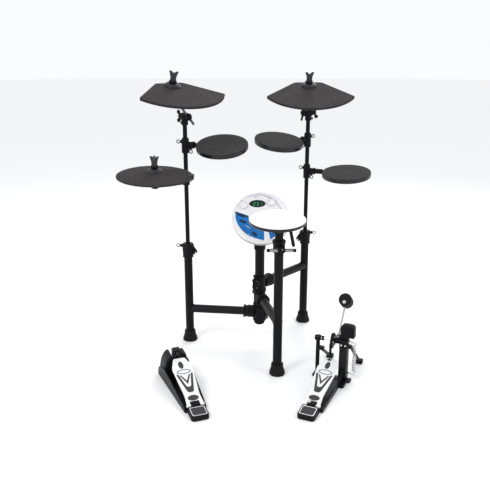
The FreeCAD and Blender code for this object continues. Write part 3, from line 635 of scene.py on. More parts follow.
def saddle_bar(start, reach, bar_z):
    """A level bar whose far end follows the round wall of an upright leg tube."""
    wall = (TUBE_R + TUBE_BORE) / 2
    turn = [(TUBE_R * cos(a), TUBE_R * sin(a)) for a in angles(64)]
    rings = [[V(start, y, bar_z + z) for y, z in turn]]
    for size in (1.0, 0.8, 0.6, 0.4, 0.2, 0.03):
        rings.append([V(reach - sqrt(max(0.0, wall ** 2 - (y * size) ** 2)), y * size, bar_z + z * size)
                      for y, z in turn])
    return skin(rings)


def make_arm(name):
    place, reach = arm_place(name)
    bar_z = joint_at(name + "_arm_swing").z / MM
    low, high = heights(name + "_hub_joint")
    foot_top, top = heights(name + "_foot")[1], heights(name + "_leg_frame")[1]
    middle = (low + high) / 2

    clamp = hub_joint(low, high, bar_z)
    piece(name + "_hub_clamp", name + "_hub_joint", "moulded_black", clamp, place, 1.0)
    screws = [rod(V(-SLEEVE_R - 5, -10, middle + dz), V(-SLEEVE_R - 5, 10, middle + dz), 3)
              for dz in (-13, 13)]
    screws += [screw_head(V(-SLEEVE_R - 5, side * 10, middle + dz), Y * side, 4.2, 2.6)
               for dz in (-13, 13) for side in (-1, 1)]
    trim(name + "_hub_screws", name + "_hub_joint", "dark_steel", screws, place)
    grip = shifted(prism(plan_star(8, 1.0, 10), 0, 7, 1.2), pointing(-Y, V(-SLEEVE_R - 5, -14, bar_z + 8)))
    trim(name + "_hub_knob", name + "_hub_joint", "moulded_black", [grip], place)

    tubes = [tube_between(8, top, TUBE_R, TUBE_BORE, (reach, 0)), saddle_bar(30, reach, bar_z),
             weld_bead(reach, bar_z)]
    piece(name + "_leg_tubes", name + "_leg_frame", "powder_black", tubes, place)

    boot = lathe([(0, 0), (26, 0), (28, 2.5), (28, 10, 5), (23.2, 24, 7), (21.4, 28, 2),
                  (21.4, foot_top - 2.5), (20.2, foot_top), (TUBE_R + 0.1, foot_top), (TUBE_R + 0.1, 8),
                  (0, 8)], 1.0, at=(reach, 0))
    lines = [tube_between(z, z + 1.1, r, r - 2, (reach, 0), 0.4)
             for z, r in ((30, 22), (34.5, 22), (6, 28.4))]
    piece(name + "_foot_boot", name + "_foot", "foot_rubber", [boot] + lines, place)


def make_post():
    low, high = heights("centre_post")
    cap_low = high - 32
    tube = tube_between(low + 13, high - 8, POST_R, POST_R - 2)
    piece("centre_post_tube", "centre_post", "powder_black", [tube], LAYOUT)
    bottom = lathe([(0, low), (12, low, 3), (19, low + 4, 4), (21.5, low + 10, 3), (21.5, low + 14),
                    (0, low + 14)])
    top = lathe([(0, high), (20, high), (22, high - 3), (22, high - 28, 2), (20.5, cap_low),
                 (POST_R, cap_low), (POST_R, high - 8), (0, high - 8)], 1.0)
    rings = [tube_between(high - z, high - z + 1.6, 22.6, 20, ease=0.5) for z in (9, 13, 17)]
    trim("centre_post_caps", "centre_post", "moulded_black", [bottom, top] + rings, LAYOUT)

    hinge = local(LAYOUT, joint_at("module_tilt"))
    neck_top = hinge.z - 22
    shells = [lathe([(0, high), (16, high), (16, high + 4), (11, high + 9, 4), (11, neck_top),
                     (0, neck_top)]),
              block((34, 18, 8), hinge - Z * 20, 2.0), block((18, 18, 14), V(2, -2, neck_top - 5), 2.0)]
    for side in (-1, 1):
        ear = hinge + X * side * 14
        shells += [block((6, 18, 20), ear - Z * 9, 1.5), rod(ear - X * 3, ear + X * 3, 9, 1.2)]
    piece("module_bracket", "module_mount", "cast_black", shells, LAYOUT, 0.8)
    pin = [rod(hinge - X * 19, hinge + X * 19, 4)]
    pin += [shifted(prism(plan_oval(13, 13, count=6), 0, 4, 0.6), pointing(X * s, hinge + X * s * 17))
            for s in (-1, 1)]
    trim("module_hinge_bolt", "module_mount", "dark_steel", pin, LAYOUT)


def make_leg_clamp(name):
    place = stand(name + "_foot", X if name == "right" else -X)
    base = heights(name + "_leg_frame")[1] - 46
    body = [lathe([(TUBE_R, base), (20, base), (20.5, base + 20, 8), (22.5, base + 42, 3),
                   (22.5, base + 48, 2), (19, base + 54), (SLIDE_BORE, base + 54), (SLIDE_BORE, base + 47),
                   (TUBE_R, base + 47)], 1.2), tube_between(base, base + 3, 21.6, TUBE_R),
            tube_between(base + 43, base + 45, 23.6, SLIDE_BORE),
            block((11, 12, 11), V(23.5, 0, base + 45), 2.0)]
    fin = [(-15, base + 52), (-24, base + 40, 6), (-37, base + 20, 6), (-35, base + 11, 4),
           (-27, base + 8, 3), (-15, base + 12)]
    body.append(upright(eased(fin, 1.0), 4.5, 1.2))
    piece(name + "_leg_collar", name + "_leg_clamp", "cast_black", body, place, 0.8)
    screws = ring_screw(V(28.5, 0, base + 45), X, 3, Z)
    bolt = V(-30, 0, base + 16)
    screws += [rod(bolt - Y * 7, bolt + Y * 6, 3)]
    trim(name + "_leg_ring", name + "_leg_clamp", "dark_steel", screws, place)
    nut = [screw_head(bolt + Y * side * 4.4, Y * side, 4.6, 3.4) for side in (-1, 1)]
    trim(name + "_leg_nut", name + "_leg_clamp", "bright_steel", nut, place)


def make_front_clamp():
    place = stand("front_foot")
    base = heights("front_leg_frame")[1] - 18
    bore = SNARE_POST_R + 0.3
    body = [lathe([(TUBE_R, base), (19.5, base), (20.5, base + 10, 4), (21, base + 30, 4),
                   (23, base + 36, 2), (23, base + 42, 1.5), (20, base + 44), (bore, base + 44),
                   (bore, base + 19), (TUBE_R, base + 19)], 1.0),
            block((22, 16, 20), V(6, -26, base + 19), 2.5), tube_between(base, base + 2.5, 21, TUBE_R)]
    piece("front_leg_collar", "front_leg_clamp", "cast_black", body, place, 0.8)

    handle = frame_at(joint_at("tee_handle_turn"), Matrix.Rotation(radians(-3), 3, "Y") @ X, Z)
    hub_star = shifted(prism(plan_star(12, 1.6, 9), 0, 11.5, 1.4), pointing(-Y, Y * -0.5))
    shells = [hub_star, rod(Y * 10, Y * -6, 4)]
    shells += [rod(V(s * 8, -7, 0), V(s * 49, -7, 0), 6, 2.0) for s in (-1, 1)]
    piece("tee_handle_grip", "tee_handle", "moulded_black", shells, handle, 0.6)
    strips = [rod(V(s * 13, -7, 0), V(s * 39, -7, 0), 6.25, 1.0) for s in (-1, 1)]
    strips.append(screw_head(V(3, -11.8, 4), -Y, 2.2, 1.4))
    trim("tee_handle_strips", "tee_handle", "satin_steel", strips, handle)


# ---- masts, cymbal pads ----
def make_pole(side):
    low, high = heights(side + "_pole")
    piece(side + "_pole_tube", side + "_pole", "powder_black",
          [tube_between(low, high, POLE_R, POLE_R - 1.5)], stand(side + "_foot"))


def wing_nut(at, direction, across, span):
    """A hub with two round paddles, on a screw that comes out along direction."""
    side = direction.cross(across)
    hub_shell = lathe([(0, 0), (8.5, 0), (8.5, 4, 1.5), (6, 9, 2), (5.5, 12.5), (0, 12.5)], 1.0)
    shells = [shifted(hub_shell, pointing(direction, at))]
    for s in (-1, 1):
        tip = at + direction * 14 + across * (s * span * 0.34)
        shells.append(rod(tip - side * 3.4, tip + side * 3.4, span * 0.165, 1.8))
        shells.append(sweep([at + direction * 6, at + direction * 9 + across * (s * span * 0.16), tip],
                            [5, 4.4, 3.6], 16))
    return shells


def make_tilter(side):
    pole = centre(side + "_pole")
    eye = joint_at(side + "_crash_tilt")
    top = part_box(side + "_pole")[1].z + 15 * MM
    origin = V(pole.x, pole.y, top)
    place = frame_at(origin, eye - origin, Z)
    body = [tube_between(-30, -14, 12.5, POLE_R),
            lathe([(0, -15), (12.5, -15), (12.5, -10, 3), (9, -3), (0, -3)], 1.2),
            rod(X * -16, X * 9, 13, 1.5, 48), rod(X * -10, X * -6, 14.5, 1.0), rod(X * 4, X * 9, 14.5, 1.0),
            block((11, 14, 8), V(-12, 0, -22), 1.5)]
    piece(side + "_tilter_body", side + "_tilter", "cast_black", body, place, 0.7)
    teeth = [rod(V(8.2, y, z), V(9.4, y, z), 0.8, 0.2, 8)
             for y, z in ((13.6 * cos(a), 13.6 * sin(a)) for a in angles(24))]
    teeth.append(screw_head(V(-17.5, 0, -22), -X, 3.6, 2.6))
    trim(side + "_tilter_teeth", side + "_tilter", "dark_steel", teeth, place)
    nut = wing_nut(X * -18, -X, Z, 44)
    trim(side + "_tilter_wing_nut", side + "_tilter", "moulded_black", nut, place, 0.7)


def crash_place(side):
    normal = flat_face(side + "_crash_pad", Z)[0]
    place = frame_at(joint_at(side + "_crash_rock"), joint_axis(side + "_crash_rock"), normal)
    return place @ move(0, 0, 2)


def crash_outline():
    """The pad's arc and its straight back, anticlockwise from the arc's left tip."""
    tips = []
    for k in range(61):
        a = radians(-CRASH_TIP_ANGLE + 2 * CRASH_TIP_ANGLE * k / 60)
        tips.append((CRASH_R * sin(a), -CRASH_R * cos(a), 9 if k in (0, 60) else 0))
    return eased(tips + [(CRASH_BACK[0], CRASH_BACK[1], 10), (-CRASH_BACK[0], CRASH_BACK[1], 10)])


def holed(outline, hole, low, high, edge):
    """A plate over an outline that goes round the origin, with a round hole at the origin."""
    rings = edge_rings(outline, low, high, edge)
    top = inset(outline, edge)
    rings += [[V(p.x * scale, p.y * scale, high) for p in top] for scale in (0.97, 0.94)]
    rings += [[V(p.x, p.y, 0).normalized() * hole + Z * z for p in outline] for z in (high, low)]
    return skin(rings, wrap=True)


def make_crash(side):
    place = crash_place(side)
    pad, rod_node = side + "_crash_pad", side + "_crash_rod"
    plan = crash_outline()
    top = holed(plan, 8, -4, 0, 1.6)
    piece(side + "_crash_rubber", pad, "cymbal_rubber", [top], place)
    base = holed(inset(plan, 0.5), 8, -CRASH_THICK, -3.6, 1.6)
    boss = lathe([(HOLE_R, -13), (18, -13), (20, -8), (HOLE_R, -8)], 1.0)
    jack = block((44, 34, 16), V(0, -78, -CRASH_THICK - 6), 2.5, 3)
    trim(side + "_crash_under", pad, "rubber_side", [base, boss, jack], place)
    out = pointing(Y, V(0, -61.2, -CRASH_THICK - 6))
    trim(side + "_crash_jack", pad, "dark_steel", [shifted(tube_between(0, 2.2, 8.2, 5.0), out)], place)
    # painted shade: a near-black disc in the jack ring stands for the shade down its hole
    trim(side + "_crash_jack_hole", pad, "socket_hole", [shifted(disc(0, 0.8, 5.1), out)], place)
    collar = lathe([(HOLE_R, 0.2), (30, 0), (29.4, 2.2), (27, 5, 1.5), (HOLE_R, 5)], 0.9)
    cone = lathe([(HOLE_R, 4.6), (24.5, 4.8), (22, 9.4, 2), (HOLE_R, 9.5)], 0.9)
    rim = lathe([(30.6, -0.4), (31.8, -0.4), (31.6, 0.5), (30.8, 0.5)], 0.2)
    trim(side + "_crash_dome", pad, "rubber_side", [collar, rim], place)
    trim(side + "_crash_cone", pad, "topper_grey", [cone], place)
    screws = [screw_head(V(x, y, -CRASH_THICK), -Z, 3.2, 1.6)
              for x, y in ((55, -40), (-55, -40), (90, -105), (-90, -105), (0, -150))]
    trim(side + "_crash_screws", pad, "dark_steel", screws, place)

    eye = joint_at(side + "_crash_tilt")
    pole = centre(side + "_pole")
    axis = V(eye.x - pole.x, eye.y - pole.y, 0).normalized()
    bend, tip = place @ V(0, 0, -30), place @ V(0, 0, 48)
    run = (bend - eye).normalized()
    tail = eye - run * 36 * MM
    to_place = place.inverted()
    path = eased([to_place @ tail, to_place @ bend, to_place @ tip], 9.0, closed=False, steps=8)
    path[-1] = Z * 46.4
    piece(side + "_crash_stem", rod_node, "dark_steel", [sweep(path, STEM_R), stem_tip(46)], place)
    eye_place = frame_at(eye, axis, run)
    trim(side + "_crash_cup", rod_node, "cast_black", [stem_cup(-28, 8, -20, -14.6)], place)
    barrel = [rod(X * -7, X * 7, 12, 1.4, 48), block((14, 15, 26), O, 2.0),
              rod(X * -46, X * -5, 3), screw_head(X * 7, X, 6.5, 3.5)]
    trim(side + "_crash_eye", rod_node, "cast_black", barrel, eye_place)
    turn = flat_face(side + "_crash_topper", -Y)[0]
    topper_place = frame_at(place @ O, turn.cross(place.to_3x3() @ Z), place.to_3x3() @ Z)
    make_topper(side + "_crash_topper", topper_place, 11.2)


def make_topper(node, place, base):
    """A two-eared rubber nut, broad at its waist and thinner toward the ears' tips."""
    collar = lathe([(STEM_R, base), (13.5, base), (14, base + 5, 1.5), (11.5, base + 10),
                    (STEM_R, base + 10)], 1.0)
    trim(node + "_collar", node, "moulded_black", [collar], place)
    outline = eased([(-9.5, 0, 1), (9.5, 0, 1), (10.6, 15, 6), (16.8, 33, 2.2), (8.2, 32.4, 2.4),
                     (0, 24, 2.2), (-8.2, 32.4, 2.4), (-16.8, 33, 2.2), (-10.6, 15, 6)])
    ears = shifted(prism(outline, -7.2, 7.2, 2.0), move(0, 0, base + 9) @ Matrix.Rotation(pi / 2, 4, "X"))
    ears = bent(ears, lambda p: V(p.x, p.y * (1.1 - 0.022 * (p.z - base - 9)), p.z))
    neck = lathe([(0, base + 9), (11, base + 9), (8.8, base + 28, 2), (0, base + 28)], 1.0)
    piece(node + "_ears", node, "topper_grey", [ears, neck], place, 0.6)


# ---- drum pads ----
def make_tom(name):
    mast = centre(name.split("_")[0] + "_pole")
    swivel, tilt = joint_at(name + "_swivel"), joint_at(name + "_tilt")
    normal, middle = flat_face(name + "_head", Z)
    out = V(middle.x - mast.x, middle.y - mast.y, 0)
    clamp = frame_at(V(mast.x, mast.y, swivel.z), out, Z)
    place = frame_at(middle - normal * 6 * MM, out, normal)
    distance = out.length / MM
    reach = min(34.0, distance - PAD_R - 5)

    sleeve = lathe([(SLEEVE_BORE, -30), (12.5, -30), (13.5, -20, 2), (13.5, 18, 2), (12.5, 26),
                    (SLEEVE_BORE, 26)], 1.2)
    socket = lathe([(6.5, 12), (12, 12), (12, reach - 5.5), (13.5, reach - 5), (13.5, reach), (6.5, reach)],
                   0.9)
    body = [sleeve, shifted(socket, Matrix.Rotation(pi / 2, 4, "Y"))]
    body += [block((8, 10, 12), V(-13, 0, 12), 1.5), block((10, 12, 8), V(20, 0, -12), 1.5)]
    body += [tube_between(z, z + 2, 14.4, SLEEVE_BORE) for z in (-26, 14)]
    piece(name + "_clamp_body", name + "_clamp", "cast_black", body, clamp, 0.7)
    screws = ring_screw(V(-17, 0, 12), -X, 3, Z) + ring_screw(V(20, 0, -16), -Z, 2.5, X)
    trim(name + "_clamp_rings", name + "_clamp", "dark_steel", screws, clamp)

    axis_z = local(place, tilt).z
    shaft = [rod(V(12.5 - distance, 0, axis_z), V(-PAD_R + 2, 0, axis_z), 6),
             rod(V(reach - distance + 0.8, 0, axis_z), V(-PAD_R - 1.5, 0, axis_z), 10, 1.2)]
    piece(name + "_arm_shaft", name + "_arm", "moulded_black", shaft, place)
    head = lathe([(0, -0.5), (94, -0.5), (94.6, 4.2), (93.4, 6, 1.6), (0, 6)], 0.5, 128)
    piece(name + "_head_rubber", name + "_head", "pad_rubber", [head], place)
    back = 1 if out.x > 0 else -1
    casing = lathe([(0, -14), (88, -14, 3), (PAD_R - 1.5, -12.4, 2), (PAD_R, -10, 2), (PAD_R, 1.2),
                    (PAD_R - 0.6, 3.4), (90, 3.4), (90, -3), (0, -3)], 0.7, 128)
    ribs = [tube_between(-15.2, -13.5, r, r - 2.4) for r in (70, 38)]
    jack = block((26, 30, 14), V(0, back * 50, -20.5), 2.4, 3)
    piece(name + "_casing", name + "_shell", "casing_gloss", [casing, jack] + ribs, place)
    out_jack = pointing(Y * back, V(0, back * 64.6, -20.5))
    trim(name + "_jack_ring", name + "_shell", "dark_steel",
         [shifted(tube_between(0, 2, 6, 4), out_jack)] + [
             screw_head(V(80 * cos(a), 80 * sin(a), -14), -Z, 3.2, 1.6)
             for a in (radians(30 + 60 * k) for k in range(6))], place)
    # painted shade: a near-black disc in the jack ring stands for the shade down its hole
    trim(name + "_jack_hole", name + "_shell", "socket_hole",
         [shifted(disc(0, 0.6, 4.2, 0.1), out_jack)], place)


def make_hat():
    mast = centre("left_pole")
    swivel = joint_at("hat_swivel")
    normal = -flat_face("hat_pad", -Z)[0]
    hat = frame_at(joint_at("hat_rock"), joint_axis("hat_rock"), normal) @ move(0, 0, -5)
    hat_at = hat @ O
    out = V(hat_at.x - mast.x, hat_at.y - mast.y, 0)
    distance = out.length / MM
    place = frame_at(V(mast.x, mast.y, swivel.z), out, Z)
    sleeve = lathe([(SLEEVE_BORE, -16), (13, -16), (13.5, -10), (13.5, 14), (12, 18), (SLEEVE_BORE, 18)],
                   1.0)
    web = [(11, -12, 1), (distance, -2, 2), (distance, 4, 2), (distance - 12, 12, 4), (11, 12, 1)]
    body = [sleeve, upright(eased(web), 6, 1.6), block((7, 10, 12), V(-12.5, 0, 0), 1.5)]
    body.append(shifted(disc(-4, 14, 11, 1.4), move(distance, 0, 0)))
    piece("hat_arm", "hat_bracket", "cast_black", body, place, 0.7)
    fittings = ring_screw(V(-16.5, 0, 0), -X, 2.5, Z)
    fittings.append(rod(V(distance + 9, 0, 3), V(distance + 15, 0, 3), 5, 1.0))
    trim("hat_arm_screws", "hat_bracket", "dark_steel", fittings, place)
    to_hat = hat.inverted()
    foot = to_hat @ (place @ V(distance, 0, 8))
    stem = sweep(eased([foot, Z * -24, Z * 61.6], 6.0, closed=False), STEM_R)
    trim("hat_stem", "hat_bracket", "dark_steel", [stem, stem_tip(59.5)], hat)
    trim("hat_cup", "hat_bracket", "cast_black", [stem_cup(-22, 9, -15, -8.6)], hat)

    top = lathe([(HOLE_R, 6.5), (27, 6.2), (29.6, 4.9, 3), (70, 1, 30), (124, -5, 30),
                 (HAT_R - 0.2, -8.2, 2), (HAT_R - 0.4, -10.6), (HAT_R - 6, -10.4), (60, -3), (HOLE_R, -3)],
                1.0, 160)
    piece("hat_rubber", "hat_pad", "cymbal_rubber", [top], hat)
    under = lathe([(HOLE_R, -6), (60, -6, 10), (120, -11, 6), (HAT_R - 4, -14), (HAT_R, -13),
                   (HAT_R, -10.2), (HAT_R - 8, -10.0), (60, -3.4), (HOLE_R, -3.4)], 0.8, 160)
    jack = block((26, 34, 15), V(HAT_R - 10, 8, -12), 2.4, 3)
    trim("hat_under", "hat_pad", "rubber_side", [under, jack], hat)
    bell = lathe([(HOLE_R, 6), (28.6, 6), (27.4, 9.2, 1), (21, 15.2, 3), (HOLE_R, 16)], 0.8)
    line = tube_between(11.3, 12.7, 25.1, 23.6, ease=0.3)
    trim("hat_bell", "hat_pad", "topper_grey", [bell, line], hat)
    turn = flat_face("hat_topper", -Y)[0]
    axis = hat.to_3x3() @ Z
    make_topper("hat_topper", frame_at(hat_at, turn.cross(axis), axis), 18.0)


def make_snare():
    normal, middle = flat_face("snare_head", Z)
    place = frame_at(middle, X, normal)
    hinge = joint_at("snare_tilt")
    low = heights("snare_post")[0]
    post = stand("front_foot")
    pin = local(post, hinge)
    base = pin.z - 22
    tube = tube_between(low, base + 1, SNARE_POST_R, 12)
    piece("snare_post_tube", "snare_post", "powder_black", [tube], post)
    yoke = [disc(base, base + 5, 15.5, 1.2)]
    for s in (-1, 1):
        yoke += [block((6, 16, 20), pin + V(s * 12, 0, -9), 1.2),
                 rod(pin + X * (s * 12 - 3), pin + X * (s * 12 + 3), 8, 1.0)]
    trim("snare_yoke", "snare_post", "cast_black", yoke, post, 0.7)
    bolt = [rod(pin - X * 15, pin + X * 15, 3.4)]
    bolt += [screw_head(pin + X * s * 15, X * s, 5.6, 3.2) for s in (-1, 1)]
    trim("snare_pivot_bolt", "snare_post", "dark_steel", bolt, post)

    pivot = local(place, hinge)
    casing = lathe([(0, -16), (74, -16, 8), (90, -15.2, 4), (PAD_R - 0.6, -13.2, 3), (PAD_R + 1, -11, 2),
                    (PAD_R + 1, -4.4), (PAD_R + 0.4, -3.3), (90, -3.3), (90, -7), (0, -7)], 0.6, 128)
    tongue = [block((17.2, 15, 16), pivot + Z * 6, 1.5), rod(pivot - X * 8.4, pivot + X * 8.4, 7.5, 1.0)]
    tongue += [block((30, 26, 6), V(pivot.x, pivot.y, -17), 1.5, 4)]
    jack = block((28, 26, 9), V(-52, 30, -17.4), 2.0, 3)
    piece("snare_casing", "snare_shell", "casing_gloss", [casing, jack] + tongue, place)
    top, grip = (local(place, V(hub.x + x, hub.y + y, z)) for x, y, z in LEVER_ENDS)
    lever = sweep([top, top.lerp(grip, 0.5), grip, grip + (grip - top).normalized() * 5.2],
                  [6, 5.6, 6, 3.0], 24)
    boss = block((24, 24, 10), top + V(-2, 0, 1), 2.0, 2)
    trim("snare_lever", "snare_shell", "cast_black", [lever, boss], place)
    rim = lathe([(90, -4), (PAD_R + 0.6, -3.2), (PAD_R + 0.4, -2.4), (90, -2.4)], 0.3, 128)
    trim("snare_edge", "snare_shell", "rubber_side", [rim], place)
    head = lathe([(0, -3.2), (PAD_R, -3.2), (PAD_R, -1.4), (PAD_R - 1.4, 0, 1.2), (0, 0)], 0.4, 128)
    piece("snare_head_white", "snare_head", "snare_white", [head], place)


# ---- sound module ----
# Centre, length and turn of each oval button.
BUTTONS = [((-71, 20.5), 34, -36), ((-70, -6), 28, -35), ((71, -8), 28, 62), ((65, -36), 24, 50),
           ((-39.5, -64), 23, -50), ((36, -68), 23, 30), ((-22, -34), 14, -20), ((22, -34), 14, 20)]


def display_oval(wider=0.0):
    """The outline of the display's window, or of one wider by a margin."""
    return plan_oval(DISPLAY[0] + wider, DISPLAY[1] + wider, DISPLAY_AT, DISPLAY_TURN, 64)


def face_place():
    """The module's face: its middle, with Y toward the display."""
    normal = joint_axis("module_knob_left_turn")
    if normal.z < 0:
        normal = -normal
    left, right = joint_at("module_knob_left_turn"), joint_at("module_knob_right_turn")
    dx = KNOB_SPOTS["right"][0] - KNOB_SPOTS["left"][0]
    dy = KNOB_SPOTS["right"][1] - KNOB_SPOTS["left"][1]
    x_axis = Matrix.Rotation(-atan2(dy, dx), 3, normal) @ (right - left)
    place = frame_at(left, x_axis, normal)
    return place @ move(-KNOB_SPOTS["left"][0], -KNOB_SPOTS["left"][1], 0)


def digit(at, strokes, height=13.0):
    """A generic seven-stroke figure."""
    w, h, t = height * 0.5, height, 1.7
    spots = {"a": (0, h / 2, 0), "g": (0, 0, 0), "d": (0, -h / 2, 0), "b": (w / 2, h / 4, 1),
             "c": (w / 2, -h / 4, 1), "f": (-w / 2, h / 4, 1), "e": (-w / 2, -h / 4, 1)}
    shells = []
    for stroke in strokes:
        x, y, tall = spots[stroke]
        size = (t, h / 2 - 1.6) if tall else (w - 1.6, t)
        shells.append(prism(plan_box(size[0], size[1], 0.6, (at[0] + x, at[1] + y)), -1.3, -0.7, 0.15))
    return shells


def arc_points(radius, start, end, count=24):
    return [V(radius * cos(a), radius * sin(a))
            for a in (radians(start + (end - start) * k / count) for k in range(count + 1))]


PANEL_TOPS = {"left": ((89, 41.6), (46, 13.8), (46.5, 4), (91.5, 31)),
              "right": ((93, 5), (92, -4), (47, -5), (47, 1))}


def panel_outline(side):
    """The coloured field beside the module's middle, down to the white spoke at the bottom."""
    if side < 0:
        outer = spline((-89, 42), (-93.5, 5), (-83, -35), (-57, -70), (-11, -97))
        return outer + [V(0, -47)] + arc_points(47, 268, 165)
    outer = spline((94, 6), (92, -12), (80, -42), (57, -72), (12, -98))
    return outer + [V(13, -46)] + arc_points(47, -70, 2)


def make_module():
    place = face_place()
    case, rear = "module_front_case", "module_rear_case"
    holes = [prism(display_oval(), -9, 5, 0.1)]
    holes += [disc(-9, 5, 3.4, 0.1, 32, at) for at in KNOB_SPOTS.values()]
    holes += [prism(plan_oval(length + 1, 11.0, at, turn), -9, 5, 0.1) for at, length, turn in BUTTONS]
    shell = lathe([(0, 0), (MODULE_R - 8, 0, 3), (MODULE_R - 2, -2, 2.5), (MODULE_R, -6, 2),
                   (MODULE_R, -16), (MODULE_R - 3, -16), (MODULE_R - 3, -4, 2), (0, -4)], 0.6, 160)
    piece("module_face", case, "module_white", [shell], place, cuts=holes)
    groove = tube_between(-9.2, -16, MODULE_R + 0.25, MODULE_R - 0.2, ease=0.3, segments=160)
    trim("module_side_band", case, "module_warm", [groove], place)
    for side, name in ((-1, "left"), (1, "right")):
        field = prism(panel_outline(side), -0.4, 0.35, 0.2)
        trim("module_panel_" + name, case, "panel_blue", [field], place, cuts=holes)
        strip = prism(eased([(side * x, y) for x, y in PANEL_TOPS[name]], 1.0), -0.4, 0.5, 0.15)
        trim("module_panel_top_" + name, case, "panel_navy", [strip], place, cuts=holes)
        marks = []
        for u, v, w in ((58, -30, 9), (64, -24, 5), (52, -36, 5), (50, -74, 6), (61, -62, 4)):
            marks.append(prism(plan_oval(w, 1.8, (side * u, v), side * 40, 20), 0.1, 0.6, 0.1))
        trim("module_marks_" + name, case, "print_white", marks, place)
    # Painted shade: a flat lilac crescent along the top rim stands for the shaded inner slope there.
    crest_out = spline((-38, 92), (6, 99), (46, 81), (68, 54), (77, 23))
    crest_in = spline((71, 28), (62, 50), (42, 73), (6, 91), (-37, 90))
    trim("module_crescent", case, "module_lilac",
         [prism(crest_out[::-1] + crest_in[::-1], -0.4, 0.25, 0.15)], place)
    ticks = [plan_box(11, 2.0, 0.6, (-4, 86)), plan_box(5, 1.8, 0.6, (7, 85)),
             plan_box(10, 1.5, 0.5, (-56, 80)),
             plan_box(9, 1.4, 0.5, (48, 69)), plan_box(4, 4, 1.2, (76, 22))]
    trim("module_ticks", case, "print_grey", [prism(t, -0.2, 0.45, 0.1) for t in ticks], place)
    rim = [band(display_oval(4), display_oval(), -0.3, 0.7)]
    trim("module_window_rim", case, "module_white", rim, place)
    lens = [prism(display_oval(-0.6), -5, -1.1, 0.3)]
    piece("module_lens", "module_display", "lens_black", lens, place)
    window = move(*DISPLAY_AT, 0) @ Matrix.Rotation(radians(DISPLAY_TURN), 4, "Z")
    figures = digit((-11, 0), "abged") + digit((0.5, 0), "abgcd") + digit((13, 0), "bc")
    trim("module_figures", "module_display", "digit_green", [shifted(f, window) for f in figures], place)
    keys = [prism(plan_oval(length, 10.0, at, turn), -4.5, 2.2, 1.2) for at, length, turn in BUTTONS]
    piece("module_keys", "module_buttons", "key_navy", keys, place)
    for name, at in KNOB_SPOTS.items():
        knob = shifted(prism(plan_star(14, 0.5, 18), 0.6, 9.4, 1.5), move(*at, 0))
        cap = lathe([(0, 9), (10.6, 9), (10.2, 10, 0.6), (0, 9.8)], 0.4, 48, at)
        piece("module_dial_" + name, "module_knob_" + name, "module_white", [knob, cap], place)
        angle = 0.9 if name == "left" else 2.2
        mark = prism(plan_box(1.6, 5.5, 0.5), 9.4, 10.2, 0.1)
        spot = move(*at, 0) @ Matrix.Rotation(angle - 1.57, 4, "Z")
        trim("module_dial_mark_" + name, "module_knob_" + name, "print_grey",
             [shifted(shifted(mark, move(0, 9.5, 0)), spot)], place)
    board = [disc(-12.5, -10.9, MODULE_R - 14, 0.2, 96)]
    piece("module_board", "module_circuit_board", "pcb_green", board, place)
    chips = [block((16, 12, 1.6), V(a, b, -13.3), 0.3, 0.5) for a, b in ((-30, -8), (22, 4), (4, -30))]
    trim("module_chips", "module_circuit_board", "lens_black", chips, place)
    make_module_back(place @ Matrix.Rotation(radians(-MODULE_TURN), 4, "Z"), rear)


def make_module_back(place, rear):
    hinge = local(place, joint_at("module_tilt"))
    shell = lathe([(0, -34), (MODULE_R - 14, -34, 6), (MODULE_R - 9, -32, 6), (MODULE_R, -20, 3),
                   (MODULE_R, -16.2), (MODULE_R - 3, -16.2), (MODULE_R - 3, -18.5), (MODULE_R - 15, -31),
                   (0, -31)], 0.8, 160)
    ribs = [tube_between(-35, -33.5, r, r - 2.2) for r in (84, 58)]
    feet = [lathe([(0, -36.5), (7, -36.5), (8, -34), (0, -34)], 0.8, 32, (72 * cos(a), 72 * sin(a)))
            for a in (radians(45 + 90 * k) for k in range(4))]
    piece("module_back", rear, "module_warm", [shell] + ribs, place)
    trim("module_back_feet", rear, "foot_rubber", feet, place)
    tongue = [block((20, 18, abs(hinge.z) - 32), V(hinge.x, hinge.y, (hinge.z - 32) / 2), 1.5),
              rod(hinge - X * 10, hinge + X * 10, 9, 1.2),
              block((40, 34, 5), V(hinge.x, hinge.y, -35.5), 1.5, 5)]
    trim("module_tongue", rear, "cast_black", tongue, place, 0.8)
    rings, painted_hole_shades = [], []
    for step in range(5):
        x = -44 + 22 * step
        out = pointing(Y, V(x, sqrt((MODULE_R - 4.3) ** 2 - x ** 2) - 1.5, -25))
        rings.append(shifted(tube_between(0, 3.2, 6, 4), out))
        # painted shade: a near-black disc in each jack ring stands for the shade down its hole
        painted_hole_shades.append(shifted(disc(0, 1.6, 4.2, 0.1), out))
    trim("module_jack_rings", rear, "dark_steel", rings, place)
    trim("module_jack_pits", rear, "socket_hole", painted_hole_shades, place)


# ---- pedals ----
SIDEWAYS = Matrix(((0, 0, 1, 0), (1, 0, 0, 0), (0, 1, 0, 0), (0, 0, 0, 1)))


def sideways(outline, low, high, edge=1.0):
    """A plate standing in the YZ plane, with its outline given as (y, z), between two X values."""
    return shifted(prism(outline, low, high, edge), SIDEWAYS)


def pedal_place(name):
    forward = joint_axis(name + "_pedal_place")
    hinge = joint_at(name + "_footboard_press")
    return frame_at(hinge - (forward * HINGE_Y + Z * HINGE_Z) * MM, forward.cross(Z), Z)


